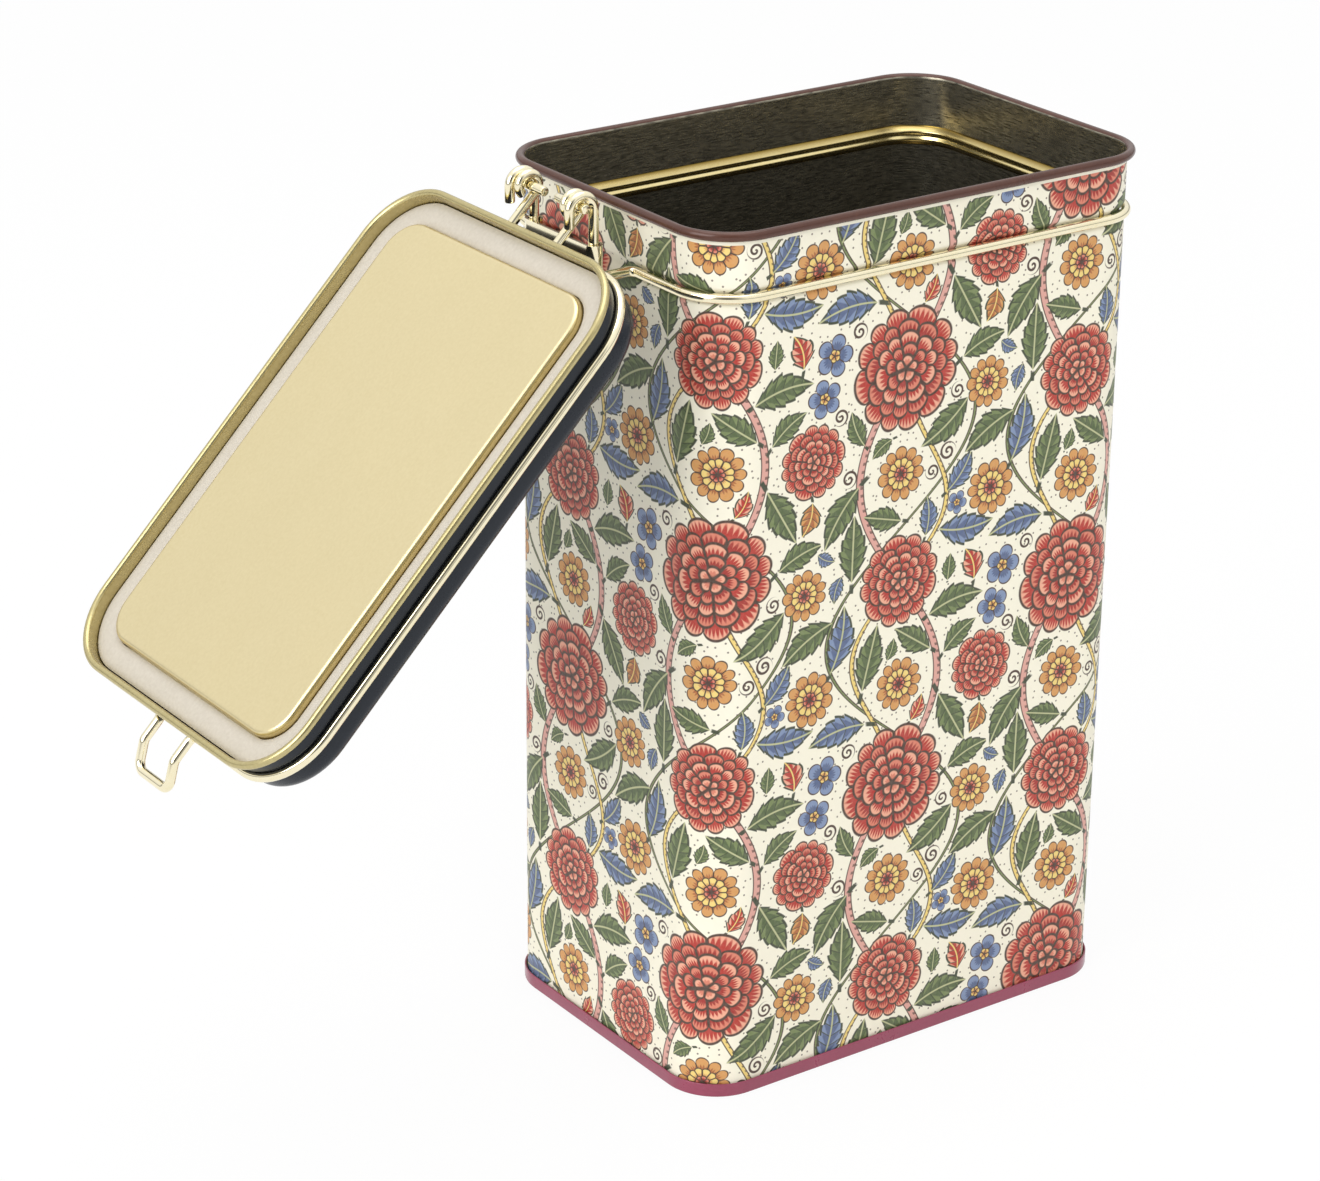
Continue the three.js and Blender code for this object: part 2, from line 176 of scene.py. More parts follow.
class NodeNet:
    """A shader node tree with short calls for the nodes that this file uses."""

    def __init__(self, tree: bpy.types.NodeTree) -> None:
        """Keeps the tree that the nodes are added to."""
        self.tree = tree

    def node(self, kind: str, sources: dict[str | int, object] | None = None,
             **settings: object) -> bpy.types.Node:
        """Adds a node, sets its options and feeds its inputs.

        Args:
            kind: The node's type name.
            sources: What feeds its inputs, by their names or places.
            **settings: Options of the node by name.

        Returns:
            The new node.
        """
        made = self.tree.nodes.new(kind)
        for name, value in settings.items():
            setattr(made, name, value)
        self.fill(made, sources or {})
        return made

    def feed(self, socket: bpy.types.NodeSocket, source: object) -> None:
        """Links a signal to an input, or writes a plain value on it.

        Args:
            socket: The input.
            source: A signal, a number, a colour or a vector.
        """
        if isinstance(source, Signal):
            self.tree.links.new(source.socket, socket)
        else:
            socket.default_value = source

    def fill(self, node: bpy.types.Node, sources: dict[str | int, object]) -> None:
        """Feeds several inputs of a node.

        Args:
            node: The node.
            sources: What feeds its inputs, by their names or places.
        """
        for name, source in sources.items():
            self.feed(node.inputs[name], source)

    def math(self, operation: str, *sources: Source, clamp: bool = False) -> Signal:
        """Adds a Math node.

        Args:
            operation: The Math node's operation.
            *sources: Its inputs in order.
            clamp: Whether the result is kept between 0 and 1.

        Returns:
            The node's output.
        """
        made = self.node("ShaderNodeMath", dict(enumerate(sources)), operation=operation,
                         use_clamp=clamp)
        return Signal(self, made.outputs[0])

    def vector(self, operation: str, *sources: object, output: int = 0) -> Signal:
        """Adds a Vector Math node.

        Args:
            operation: The Vector Math node's operation.
            *sources: Its vector inputs in order.
            output: 0 for its vector, 1 for its value.

        Returns:
            The chosen output.
        """
        made = self.node("ShaderNodeVectorMath", dict(enumerate(sources)), operation=operation)
        return Signal(self, made.outputs[output])

    def dot(self, first: object, second: object) -> Signal:
        """Returns the dot product of two vectors."""
        return self.vector("DOT_PRODUCT", first, second, output=1)

    def join(self, x: Source, y: Source, z: Source = 0.0) -> Signal:
        """Returns a vector made of three values."""
        return Signal(self, self.node("ShaderNodeCombineXYZ", {0: x, 1: y, 2: z}).outputs[0])

    def split(self, source: Signal) -> tuple[Signal, Signal, Signal]:
        """Returns the three values of a vector."""
        made = self.node("ShaderNodeSeparateXYZ", {0: source})
        return tuple(Signal(self, socket) for socket in made.outputs)

    def mix(self, under: Paint, over: Paint, share: Source,
            kind: MixKind = MixKind.COLOUR) -> Signal:
        """Lays one colour or vector over another.

        Args:
            under: What shows where the share is 0.
            over: What shows where the share is 1.
            share: The mask.
            kind: Whether colours or vectors are mixed.

        Returns:
            The mixed colour or vector.
        """
        data_type, first, second, result = kind.value
        made = self.node("ShaderNodeMix", {"Factor": share, first: under, second: over},
                         data_type=data_type)
        return Signal(self, made.outputs[result])

    def print_spot(self) -> Signal:
        """Reads the place in the print.

        Returns:
            The way round the wall and the height, as x and y.
        """
        wall = self.node("ShaderNodeAttribute", attribute_type="GEOMETRY",
                         attribute_name=PRINT_PLACE)
        return Signal(self, wall.outputs["Vector"])

    def object_place(self) -> Signal:
        """Returns the place on the object in metres."""
        return Signal(self, self.node("ShaderNodeTexCoord").outputs["Object"])

    def bump(self, shader: bpy.types.Node, height: Signal, strength: float) -> None:
        """Raises a shader's surface by up to one millimetre.

        Args:
            shader: The Principled node.
            height: The height, from 0 to 1.
            strength: How much of it shows.
        """
        lift = self.node("ShaderNodeBump", {"Strength": strength, "Distance": METRE,
                                            "Height": height})
        self.feed(shader.inputs["Normal"], Signal(self, lift.outputs[0]))

    def group(self, tree: bpy.types.NodeTree, **sources: object) -> dict[str, Signal]:
        """Places a node group.

        Args:
            tree: The group's tree.
            **sources: What feeds its inputs, by their names.

        Returns:
            Its outputs by name.
        """
        made = self.node("ShaderNodeGroup", node_tree=tree)
        self.fill(made, sources)
        return {socket.name: Signal(self, socket) for socket in made.outputs}


class GroupTree(NodeNet):
    """A shader node group with named inputs and outputs."""

    def __init__(self, name: str, inputs: dict[str, object], outputs: dict[str, str]) -> None:
        """Makes the group's tree and its sockets.

        Args:
            name: The group's name.
            inputs: Each input's name with its default: a number, a colour, or None for a vector.
            outputs: Each output's name with its socket type's short word: Float, Color or Vector.
        """
        tree = bpy.data.node_groups.new(name, "ShaderNodeTree")
        super().__init__(tree)
        for key, default in inputs.items():
            kind = ("Vector" if default is None
                    else "Float" if isinstance(default, float) else "Color")
            made = tree.interface.new_socket(key, in_out="INPUT", socket_type="NodeSocket" + kind)
            if default is not None:
                made.default_value = default
        for key, kind in outputs.items():
            tree.interface.new_socket(key, in_out="OUTPUT", socket_type="NodeSocket" + kind)
        entry = tree.nodes.new("NodeGroupInput")
        self.given = {socket.name: Signal(self, socket) for socket in entry.outputs if socket.name}
        self.exit = tree.nodes.new("NodeGroupOutput")

    def give(self, **results: Signal) -> bpy.types.NodeTree:
        """Links the results to the group's outputs.

        Args:
            **results: The results by the outputs' names.

        Returns:
            The group's tree.
        """
        for name, result in results.items():
            self.feed(self.exit.inputs[name], result)
        return self.tree


# Sections and meshes


def arc(centre: Pair, radius: float, start: float, end: float, steps: int) -> list[Pair]:
    """Gives the points of an arc.

    Args:
        centre: The arc's centre.
        radius: Its radius.
        start: The angle of its first point.
        end: The angle of its last point.
        steps: The number of steps between them.

    Returns:
        The points in order.
    """
    points = []
    for step in range(steps + 1):
        angle = math.radians(start + (end - start) * step / steps)
        points.append((centre[0] + radius * math.cos(angle), centre[1] + radius * math.sin(angle)))
    return points


def groove(wall: float, middle: float, depth: float, height: float, hollow: float = 0.0,
           flat: float = 0.0, steps: int = 20) -> list[Pair]:
    """Gives the section of a groove that is pressed into a wall.

    Args:
        wall: The wall's offset.
        middle: The height of the groove's middle.
        depth: How deep it goes.
        height: How high it is.
        hollow: How far the foot's middle springs back between its two lines.
        flat: The share of its height that the foot takes up.
        steps: The number of steps from its lower to its upper edge.

    Returns:
        The points of offset and height, from below.
    """
    points = []
    for step in range(steps + 1):
        side = 2 * step / steps - 1
        foot = 0.5 - 0.5 * math.cos(math.pi * min(1.0, (1 - abs(side)) / (1 - flat)))
        dip = 0.5 + 0.5 * math.cos(math.pi * min(1.0, abs(side) / flat)) if flat else 0.0
        points.append((wall - depth * foot + hollow * dip, middle + height * side / 2))
    return points


@dataclass
class Draft:
    """A mesh under construction, with the finish of each face."""

    points: list[Vector] = field(default_factory=list)
    faces: list[tuple[int, ...]] = field(default_factory=list)
    finishes: list[int] = field(default_factory=list)
    places: list[tuple[Pair, ...]] = field(default_factory=list)

    def turned(self, turn: Matrix, pivot: Vector) -> "Draft":
        """Turns the draft about a point.

        Args:
            turn: The rotation.
            pivot: The point that stays.

        Returns:
            The same draft.
        """
        self.points = [pivot + turn @ (point - pivot) for point in self.points]
        return self

    def moved(self, way: Vector) -> "Draft":
        """Moves the draft and returns it."""
        self.points = [point + way for point in self.points]
        return self


@dataclass(frozen=True)
class Piece:
    """What a finished piece rides on and stands for, with a slot that it holds but doesn't use."""

    name: str
    body: Body
    node: str
    slot: Slot
    sharp_degrees: float = 40.0

    def make(self, draft: Draft, materials: Sequence[bpy.types.Material]) -> bpy.types.Object:
        """Turns a draft into the scene's piece.

        Args:
            draft: The mesh in millimetres.
            materials: The materials that the draft's finishes count through.

        Returns:
            The object, riding on its body in place of its CAD node.
        """
        mesh = bpy.data.meshes.new(self.name)
        mesh.from_pydata([point * METRE for point in draft.points], [], draft.faces)
        for material in materials:
            mesh.materials.append(material)
        if draft.finishes:
            mesh.polygons.foreach_set("material_index", draft.finishes)
        if draft.places:
            spots = mesh.attributes.new(PRINT_PLACE, "FLOAT_VECTOR", "CORNER")
            flat = [value for face in draft.places for u, v in face for value in (u, v, 0.0)]
            spots.data.foreach_set("vector", flat)
        mesh.validate()
        mesh.shade_smooth()
        mesh.set_sharp_from_angle(angle=math.radians(self.sharp_degrees))
        mesh.update()
        made = bpy.data.objects.new(self.name, mesh)
        bpy.context.scene.collection.objects.link(made)
        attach(made, self.body.value)
        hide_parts(self.node)
        log.info("%s: %d faces on %s", self.name, len(mesh.polygons), self.body.value)
        return made


@dataclass(frozen=True)
class Footprint:
    """The tin's rounded rectangle, seen from above."""

    length: float = 111.0
    width: float = 74.5
    corner_radius: float = 11.5
    corner_steps: int = 16
    edge_hold: float = 0.5

    @property
    def half_length(self) -> float:
        """Half the long side."""
        return self.length / 2

    @property
    def half_width(self) -> float:
        """Half the short side."""
        return self.width / 2

    def ring(self, offset: float) -> list[tuple[float, float, float]]:
        """Gives the outline grown outwards, from the side seam round to it again.

        Args:
            offset: How far it is grown.

        Returns:
            Points of x, y and the way travelled round the outline that isn't grown.
        """
        centre_x = self.half_length - self.corner_radius
        centre_y = self.half_width - self.corner_radius
        radius = self.corner_radius + offset
        quarter = self.corner_radius * math.pi / 2
        points = []
        travel = 0.0
        for index, (sign_x, sign_y) in enumerate(((-1, 1), (-1, -1), (1, -1), (1, 1))):
            start = 90 * (index + 1)
            centre = (sign_x * centre_x, sign_y * centre_y)
            bend = arc(centre, radius, start, start + 90, self.corner_steps)
            for step, (x, y) in enumerate(bend):
                points.append((x, y, travel + quarter * step / self.corner_steps))
            travel += quarter
            heading = math.radians(start + 180)
            way = (math.cos(heading), math.sin(heading))
            side = 2 * (centre_y if index % 2 == 0 else centre_x)
            x, y = bend[-1]
            for reach in (self.edge_hold, side - self.edge_hold):
                points.append((x + way[0] * reach, y + way[1] * reach, travel + reach))
            travel += side
        return points

    def perimeter(self) -> float:
        """The way round the outline that isn't grown."""
        straight = 2 * (self.length + self.width - 4 * self.corner_radius)
        return straight + 2 * math.pi * self.corner_radius

    def sweep(self, section: Sequence[Pair], closed: bool,
              finish_of: Callable[[int], int] | None = None) -> Draft:
        """Carries a section round the outline, with the metal on its left.

        Args:
            section: Points of offset and height. An open one runs from the middle of the underside
                to the middle of the top.
            closed: Whether the section's end joins its start.
            finish_of: The finish of the band after each of the section's points.

        Returns:
            The swept draft, with the print's place on each corner.
        """
        draft = Draft()
        rings = [self.ring(offset) for offset, _ in section]
        count = len(rings[0])
        for ring, (_, z) in zip(rings, section):
            draft.points.extend(Vector((x, y, z)) for x, y, _ in ring)
        whole = self.perimeter()
        bands = len(section) if closed else len(section) - 1
        for band in range(bands):
            above = (band + 1) % len(section)
            heights = (section[band][1], section[above][1])
            for i in range(count):
                j = (i + 1) % count
                low, high = band * count, above * count
                draft.faces.append((low + i, low + j, high + j, high + i))
                here = rings[band][i][2]
                there = rings[band][j][2] if j else whole
                draft.places.append(((here, heights[0]), (there, heights[0]),
                                     (there, heights[1]), (here, heights[1])))
                draft.finishes.append(finish_of(band) if finish_of else 0)
        if not closed:
            self.close_middle(draft, section, count, finish_of)
        return draft

    def close_middle(self, draft: Draft, section: Sequence[Pair], count: int,
                     finish_of: Callable[[int], int] | None) -> None:
        """Closes a pan's underside and top with flat fans.

        Args:
            draft: The swept draft.
            section: The section that was swept.
            count: The number of points round the outline.
            finish_of: The finish of each band.
        """
        last = (len(section) - 1) * count
        for start, z, upward in ((0, section[0][1], False), (last, section[-1][1], True)):
            middle = len(draft.points)
            draft.points.append(Vector((0.0, 0.0, z)))
            for i in range(count):
                j = (i + 1) % count
                a, b = (start + i, start + j) if upward else (start + j, start + i)
                draft.faces.append((middle, a, b))
                spots = [draft.points[index] for index in (middle, a, b)]
                draft.places.append(tuple((spot.x, spot.y) for spot in spots))
                band = len(section) - 2 if upward else 0
                draft.finishes.append(finish_of(band) if finish_of else 0)


@dataclass(frozen=True)
class Corner:
    """A corner of a wire's centre line and the radius that it is bent to."""

    x: float
    y: float
    z: float
    radius: float = 0.0

    @property
    def point(self) -> Vector:
        """The corner's place."""
        return Vector((self.x, self.y, self.z))


def both_sides(half: Sequence[Corner]) -> list[Corner]:
    """Gives half a wire's corners followed by their mirror image back to the start."""
    mirrored = [Corner(corner.x, -corner.y, corner.z, corner.radius) for corner in half]
    return list(half) + mirrored[::-1]


@dataclass(frozen=True)
class Wire:
    """A round wire along rounded corners."""

    corners: Sequence[Corner]
    radius: float
    sides: int = 24
    bend_degrees: float = 6.0
    end_round: float = 0.35
    least_step: float = 0.02
    least_bend_degrees: float = 0.5
    least_bend_steps: int = 3

    def line(self) -> list[tuple[Vector, Vector]]:
        """Gives the stations of the centre line.

        Returns:
            Places with directions, none of them closer to the last than the least step.
        """
        stations = []
        points = [corner.point for corner in self.corners]
        start = (points[1] - points[0]).normalized()
        stations.append((points[0], start))
        for before, corner, after in zip(self.corners, self.corners[1:], self.corners[2:]):
            stations.extend(self.bend(before.point, corner, after.point))
        stations.append((points[-1], (points[-1] - points[-2]).normalized()))
        kept = [stations[0]]
        for place, way in stations[1:]:
            if (place - kept[-1][0]).length > self.least_step:
                kept.append((place, way))
        return kept

    def bend(self, before: Vector, corner: Corner, after: Vector) -> list[tuple[Vector, Vector]]:
        """Gives the stations of one bend.

        Args:
            before: The corner before it.
            corner: The corner that is rounded.
            after: The corner after it.

        Returns:
            Places with directions, along the bend.
        """
        inward = (corner.point - before).normalized()
        outward = (after - corner.point).normalized()
        turn = inward.angle(outward)
        if turn < math.radians(self.least_bend_degrees):
            return [(corner.point, inward)]
        setback = corner.radius * math.tan(turn / 2)
        side = (outward - inward * math.cos(turn)).normalized()
        start = corner.point - inward * setback
        centre = start + side * corner.radius
        steps = max(self.least_bend_steps, math.ceil(math.degrees(turn) / self.bend_degrees))
        stations = []
        for step in range(steps + 1):
            angle = turn * step / steps
            place = (centre - side * corner.radius * math.cos(angle)
                     + inward * corner.radius * math.sin(angle))
            stations.append((place, inward * math.cos(angle) + side * math.sin(angle)))
        return stations

    def eased_end(self, place: Vector, way: Vector, inward: Vector) -> list[Ring]:
        """Gives the rings that round one end of the wire.

        Args:
            place: The centre of the end.
            way: The wire's direction there.
            inward: The direction into the wire.

        Returns:
            Each ring's centre, direction and radius, from the end inwards.
        """
        ease = self.end_round * self.radius
        rings = []
        for share in (0.0, 0.5, 1.0):
            angle = share * math.pi / 2
            shrink = self.radius - ease * (1 - math.sin(angle))
            rings.append((place + inward * ease * (1 - math.cos(angle)), way, shrink))
        return rings

    def draft(self) -> Draft:
        """Gives the wire as a tube with rounded ends.

        Returns:
            The tube's draft.
        """
        draft = Draft()
        stations = self.line()
        first_place, first_way = stations[0]
        last_place, last_way = stations[-1]
        rings = self.eased_end(first_place, first_way, first_way)
        rings.extend((place, way, self.radius) for place, way in stations[1:-1])
        rings.extend(self.eased_end(last_place, last_way, -last_way)[::-1])
        across = first_way.orthogonal().normalized()
        travel = 0.0
        travels = []
        previous = rings[0][0]
        for place, way, radius in rings:
            across = (across - way * across.dot(way)).normalized()
            third = way.cross(across)
            for side in range(self.sides):
                angle = 2 * math.pi * side / self.sides
                spoke = across * math.cos(angle) + third * math.sin(angle)
                draft.points.append(place + spoke * radius)
            travel += (place - previous).length
            travels.append(travel)
            previous = place
        self.close(draft, travels, first_place, last_place)
        return draft

    def close(self, draft: Draft, travels: Sequence[float], first: Vector, last: Vector) -> None:
        """Adds the tube's faces and the caps at its two ends.

        Args:
            draft: The draft that holds the rings' points.
            travels: The way travelled at each ring.
            first: The centre of the first end.
            last: The centre of the last end.
        """
        count = self.sides
        girth = 2 * math.pi * self.radius
        for ring in range(len(travels) - 1):
            for i in range(count):
                j = (i + 1) % count
                low, high = ring * count, (ring + 1) * count
                draft.faces.append((low + i, low + j, high + j, high + i))
                left, right = girth * i / count, girth * (i + 1) / count
                draft.places.append(((left, travels[ring]), (right, travels[ring]),
                                     (right, travels[ring + 1]), (left, travels[ring + 1])))
        end = (len(travels) - 1) * count
        for centre, start, forward in ((first, 0, False), (last, end, True)):
            middle = len(draft.points)
            draft.points.append(centre)
            spot = travels[-1] if forward else travels[0]
            for i in range(count):
                j = (i + 1) % count
                a, b = (start + i, start + j) if forward else (start + j, start + i)
                draft.faces.append((middle, a, b))
                draft.places.append(((0.0, spot), (1.0, spot), (1.0, spot)))
        draft.finishes = [0] * len(draft.faces)


# Finishes


# How the rolling streaks are drawn out: less along an axis is longer along it
UPRIGHT_ROLLING = (1.0, 1.0, 0.08)
LEVEL_ROLLING = (4.0, 4.0, 30.0)
FLAT_ROLLING = (0.1, 1.6, 1.0)


def fresh_material(name: str) -> tuple[bpy.types.Material, NodeNet, bpy.types.Node]:
    """Makes a material with only its Principled shader.

    Args:
        name: The material's name.

    Returns:
        The material, its node net and its Principled node.
    """
    material = bpy.data.materials.new(name)
    material.use_nodes = True
    net = NodeNet(material.node_tree)
    return material, net, material.node_tree.nodes["Principled BSDF"]


@dataclass(frozen=True)
class SheetFinish:
    """A lacquered or painted sheet with fine grain, rolled streaks and handling marks, and, where a
    colour is given for it, painted shade towards the edges of a band.
    """

    name: str
    light: Colour
    deep: Colour
    metallic: float
    roughness: float
    roughness_spread: float = 0.12
    streak_share: float = 0.5
    coat: float = 0.0
    coat_roughness: float = 0.1
    specular: float = 0.5
    bump: float = 0.02
    stretch: tuple[float, float, float] = UPRIGHT_ROLLING
    contrast: float = 1.8
    # Painted shade: a darker colour laid on towards the edges of a band round a middle height,
    # where the surface would be in shade.
    edge_shade: Colour | None = None
    edge_shade_middle: float = 0.0
    edge_shade_start: float = 0.0
    edge_shade_width: float = 1.0
    grain_fineness: float = 1400.0
    streak_fineness: float = 120.0
    mark_fineness: float = 60.0

    def material(self, surface: "SurfaceEffects") -> bpy.types.Material:
        """Makes the material.

        Args:
            surface: The shared node groups.

        Returns:
            The material.
        """
        material, net, shader = fresh_material(self.name)
        place = net.object_place()
        grain = net.group(surface.grain, Place=place, Fineness=self.grain_fineness)["Value"]
        streaks = net.group(surface.streaks, Place=place, Fineness=self.streak_fineness,
                            Stretch=self.stretch, Contrast=self.contrast)["Value"]
        marks = net.group(surface.marks, Place=place, Fineness=self.mark_fineness)["Value"]
        tone = streaks * self.streak_share + grain * (1 - self.streak_share)
        colour = net.mix(self.light, self.deep, tone)
        # Painted shade: darkens the colour away from the middle height, towards the band's edges.
        if self.edge_shade:
            _, height, _ = net.split(net.print_spot())
            from_middle = (height - self.edge_shade_middle).size()
            edge = from_middle.step(self.edge_shade_start, 1 / self.edge_shade_width)
            colour = net.mix(colour, self.edge_shade, edge)
        rough = tone * self.roughness_spread + (self.roughness - self.roughness_spread / 2)
        net.fill(shader, {
            "Base Color": colour, "Roughness": rough + marks * self.roughness_spread,
            "Metallic": self.metallic, "Specular IOR Level": self.specular,
            "Coat Weight": self.coat, "Coat Roughness": self.coat_roughness,
        })
        if self.bump:
            net.bump(shader, grain, self.bump)
        return material


class SurfaceEffects:
    """The shared shader node groups for what every finish shows close up."""

    def __init__(self) -> None:
        """Builds the groups once."""
        self.grain = self.make_grain()
        self.streaks = self.make_streaks()
        self.marks = self.make_marks()

    def noise(self, net: GroupTree, place: Signal, detail: float,
              distortion: float = 0.0) -> Signal:
        """Adds a noise that is as fine as its group's input says.

        Args:
            net: The group.
            place: Where on the surface it is read.
            detail: How many finer layers it has.
            distortion: How far it is warped.

        Returns:
            The noise's value.
        """
        made = net.node("ShaderNodeTexNoise", {
            "Vector": place, "Scale": net.given["Fineness"], "Detail": detail,
            "Distortion": distortion})
        return Signal(net, made.outputs[0])

    def make_grain(self) -> bpy.types.NodeTree:
        """Makes the fine grain of lacquer or rubber.

        Returns:
            The group's tree.
        """
        net = GroupTree("fine_grain", {"Place": None, "Fineness": 1000.0}, {"Value": "Float"})
        value = self.noise(net, net.given["Place"], detail=3.0)
        contrast, lift = 1.6, -0.3
        return net.give(Value=net.math("MULTIPLY_ADD", value, contrast, lift, clamp=True))

    def make_streaks(self) -> bpy.types.NodeTree:
        """Makes the long streaks that rolling leaves in sheet metal.

        Returns:
            The group's tree.
        """
        net = GroupTree("rolled_streaks", {"Place": None, "Fineness": 120.0, "Stretch": None,
                                           "Contrast": 1.8}, {"Value": "Float"})
        stretched = net.vector("MULTIPLY", net.given["Place"], net.given["Stretch"])
        value = self.noise(net, stretched, detail=4.0) - 0.5
        spread = net.math("MULTIPLY_ADD", value, net.given["Contrast"], 0.5, clamp=True)
        return net.give(Value=spread)

    def make_marks(self) -> bpy.types.NodeTree:
        """Makes faint smudges where hands touch the finish.

        Returns:
            The group's tree.
        """
        net = GroupTree("handling_marks", {"Place": None, "Fineness": 60.0}, {"Value": "Float"})
        value = self.noise(net, net.given["Place"], detail=5.0, distortion=0.6)
        contrast, lift = 2.4, -0.9
        return net.give(Value=net.math("MULTIPLY_ADD", value, contrast, lift, clamp=True))


# The print on the tin: generic garden flowers on a stepped repeat


@dataclass(frozen=True)
class Repeat:
    """The stepped repeat that the print is laid out on."""

    column: float = 46.0
    drop: float = 36.8
    height: float = 92.0
    start: Pair = (0.30, 0.42)

    def place(self, net: NodeNet, spot: Signal) -> Signal:
        """Turns a place on the wall into repeat units, where the repeat is a unit square.

        Args:
            net: The material's node net.
            spot: The way round the wall and the height.

        Returns:
            The place in repeat units.
        """
        across = net.dot(spot, (1 / self.column, 0.0, 0.0))
        slant = -self.drop / (self.column * self.height)
        along = net.dot(spot, (slant, 1 / self.height, 0.0))
        return net.join(across + self.start[0], along + self.start[1])

    def units(self, x: float, y: float) -> Pair:
        """Turns millimetres from the repeat's corner into repeat units."""
        return (x / self.column, (y - x * self.drop / self.column) / self.height)

    def folded(self, net: NodeNet, place: Signal, x: float, y: float) -> Signal:
        """Gives the way in repeat units from the nearest copy of a spot.

        Args:
            net: The material's node net.
            place: The place in repeat units.
            x: The spot's place across the repeat.
            y: The spot's place up the repeat.

        Returns:
            The way from it.
        """
        u, v = self.units(x, y)
        near = net.vector("WRAP", place, (u + 0.5, v + 0.5, 1.0), (u - 0.5, v - 0.5, -1.0))
        return net.vector("SUBTRACT", near, (u, v, 0.0))


@dataclass(frozen=True)
class Spot:
    """Where one motif lies in the repeat, its turn, its size and its tone."""

    x: float
    y: float
    turn: float
    across: float
    along: float
    tone: float = 0.0

    def local(self, net: NodeNet, repeat: Repeat, place: Signal) -> Signal:
        """Gives the motif's own coordinates, which run from -1 to 1 across it.

        Args:
            net: The material's node net.
            repeat: The print's repeat.
            place: The place in repeat units.

        Returns:
            The motif's x and y, with its tone as z.
        """
        way = repeat.folded(net, place, self.x, self.y)
        turn = math.radians(self.turn)
        cosine, sine = math.cos(turn), math.sin(turn)
        wide, high = 2 / self.across, 2 / self.along
        row_x = (wide * (cosine * repeat.column + sine * repeat.drop),
                 wide * sine * repeat.height, 0.0)
        row_y = (high * (cosine * repeat.drop - sine * repeat.column),
                 high * cosine * repeat.height, 0.0)
        return net.join(net.dot(way, row_x), net.dot(way, row_y), self.tone)


@dataclass(frozen=True)
class PetalRing:
    """One ring of petals in a flower, in parts of the flower's radius."""

    count: int
    reach: float
    notch: float
    deep: Colour
    pale: Colour
    phase: float = 0.0
    strokes: float = 40.0
    blush: float = 0.8
    line: float = 0.046


@dataclass(frozen=True)
class Flower:
    """A flower seen from above: its rings from the outermost in, and where it stands."""

    rings: tuple[PetalRing, ...]
    spots: tuple[Spot, ...]
    sway: float = 0.1
    sway_count: float = 3.0


@dataclass(frozen=True)
class LeafKind:
    """A kind of leaf or bud: its two choices of ink and where it stands."""

    spots: tuple[Spot, ...]
    light: Colour
    dark: Colour
    other_light: Colour
    other_dark: Colour
    rib: Colour
    veins: float = 6.5
    teeth: float = 6.0


@dataclass(frozen=True)
class Vine:
    """A winding stem that runs up every column of the repeat."""

    swings: tuple[float, float]
    half_width: float
    fill: Colour
    hatch_pitch: float = 1.7
    lead: float = 0.0


def round_spots(*rows: tuple[float, float, float, float]) -> tuple[Spot, ...]:
    """Makes round motifs' spots from rows of x, y, radius and turn."""
    return tuple(Spot(x, y, turn, 2 * radius, 2 * radius) for x, y, radius, turn in rows)


RED, WINE = ink(176, 38, 28), ink(158, 30, 24)
ROSE, SHELL = ink(212, 122, 98), ink(232, 166, 138)
OUTLINE = ink(66, 42, 32)
CREAM = ink(242, 237, 217)
RUST, AMBER = ink(168, 98, 50), ink(208, 150, 84)
MOSS, SAGE, FOREST = ink(78, 95, 56), ink(114, 130, 80), ink(50, 60, 40)
DUSK, SKY = ink(80, 97, 134), ink(122, 141, 176)
STRAW = ink(234, 206, 120)

FLOWERS = (
    Flower((
        PetalRing(12, 1.0, 0.15, RED, SHELL, strokes=40.0, blush=0.80),
        PetalRing(12, 0.80, 0.13, WINE, ROSE, phase=1.57, strokes=34.0, blush=0.76),
        PetalRing(10, 0.62, 0.12, RED, SHELL, strokes=28.0, blush=0.70),
        PetalRing(8, 0.43, 0.11, WINE, ROSE, phase=1.57, strokes=22.0, blush=0.62),
        PetalRing(5, 0.25, 0.09, ROSE, SHELL, strokes=10.0, blush=0.50),
    ), round_spots((0, 0, 13.6, 10), (0, 46, 10.4, 40), (23, 21.5, 8.2, 70))),
    Flower((
        PetalRing(11, 1.0, 0.24, RUST, AMBER, strokes=22.0, blush=0.58, line=0.05),
        PetalRing(11, 0.60, 0.10, AMBER, STRAW, phase=1.57, strokes=22.0, blush=0.50, line=0.05),
        PetalRing(7, 0.30, 0.06, WINE, ROSE, strokes=14.0, blush=0.5, line=0.05),
    ), round_spots((0.8, 22.5, 6.1, 0), (-0.5, 69.5, 6.1, 25), (23.5, 61.5, 6.3, 50),
                   (21.5, -7, 5.7, 15)), sway=0.05),
    Flower((
        PetalRing(5, 1.0, 0.42, DUSK, SKY, strokes=15.0, blush=0.55, line=0.07),
        PetalRing(5, 0.34, 0.10, AMBER, STRAW, phase=1.57, strokes=5.0, blush=0.5, line=0.06),
    ), round_spots((27.7, 43.0, 4.7, 0), (25.5, 34.4, 4.3, 33), (14.6, 60.0, 2.7, 60)), sway=0.0),
)

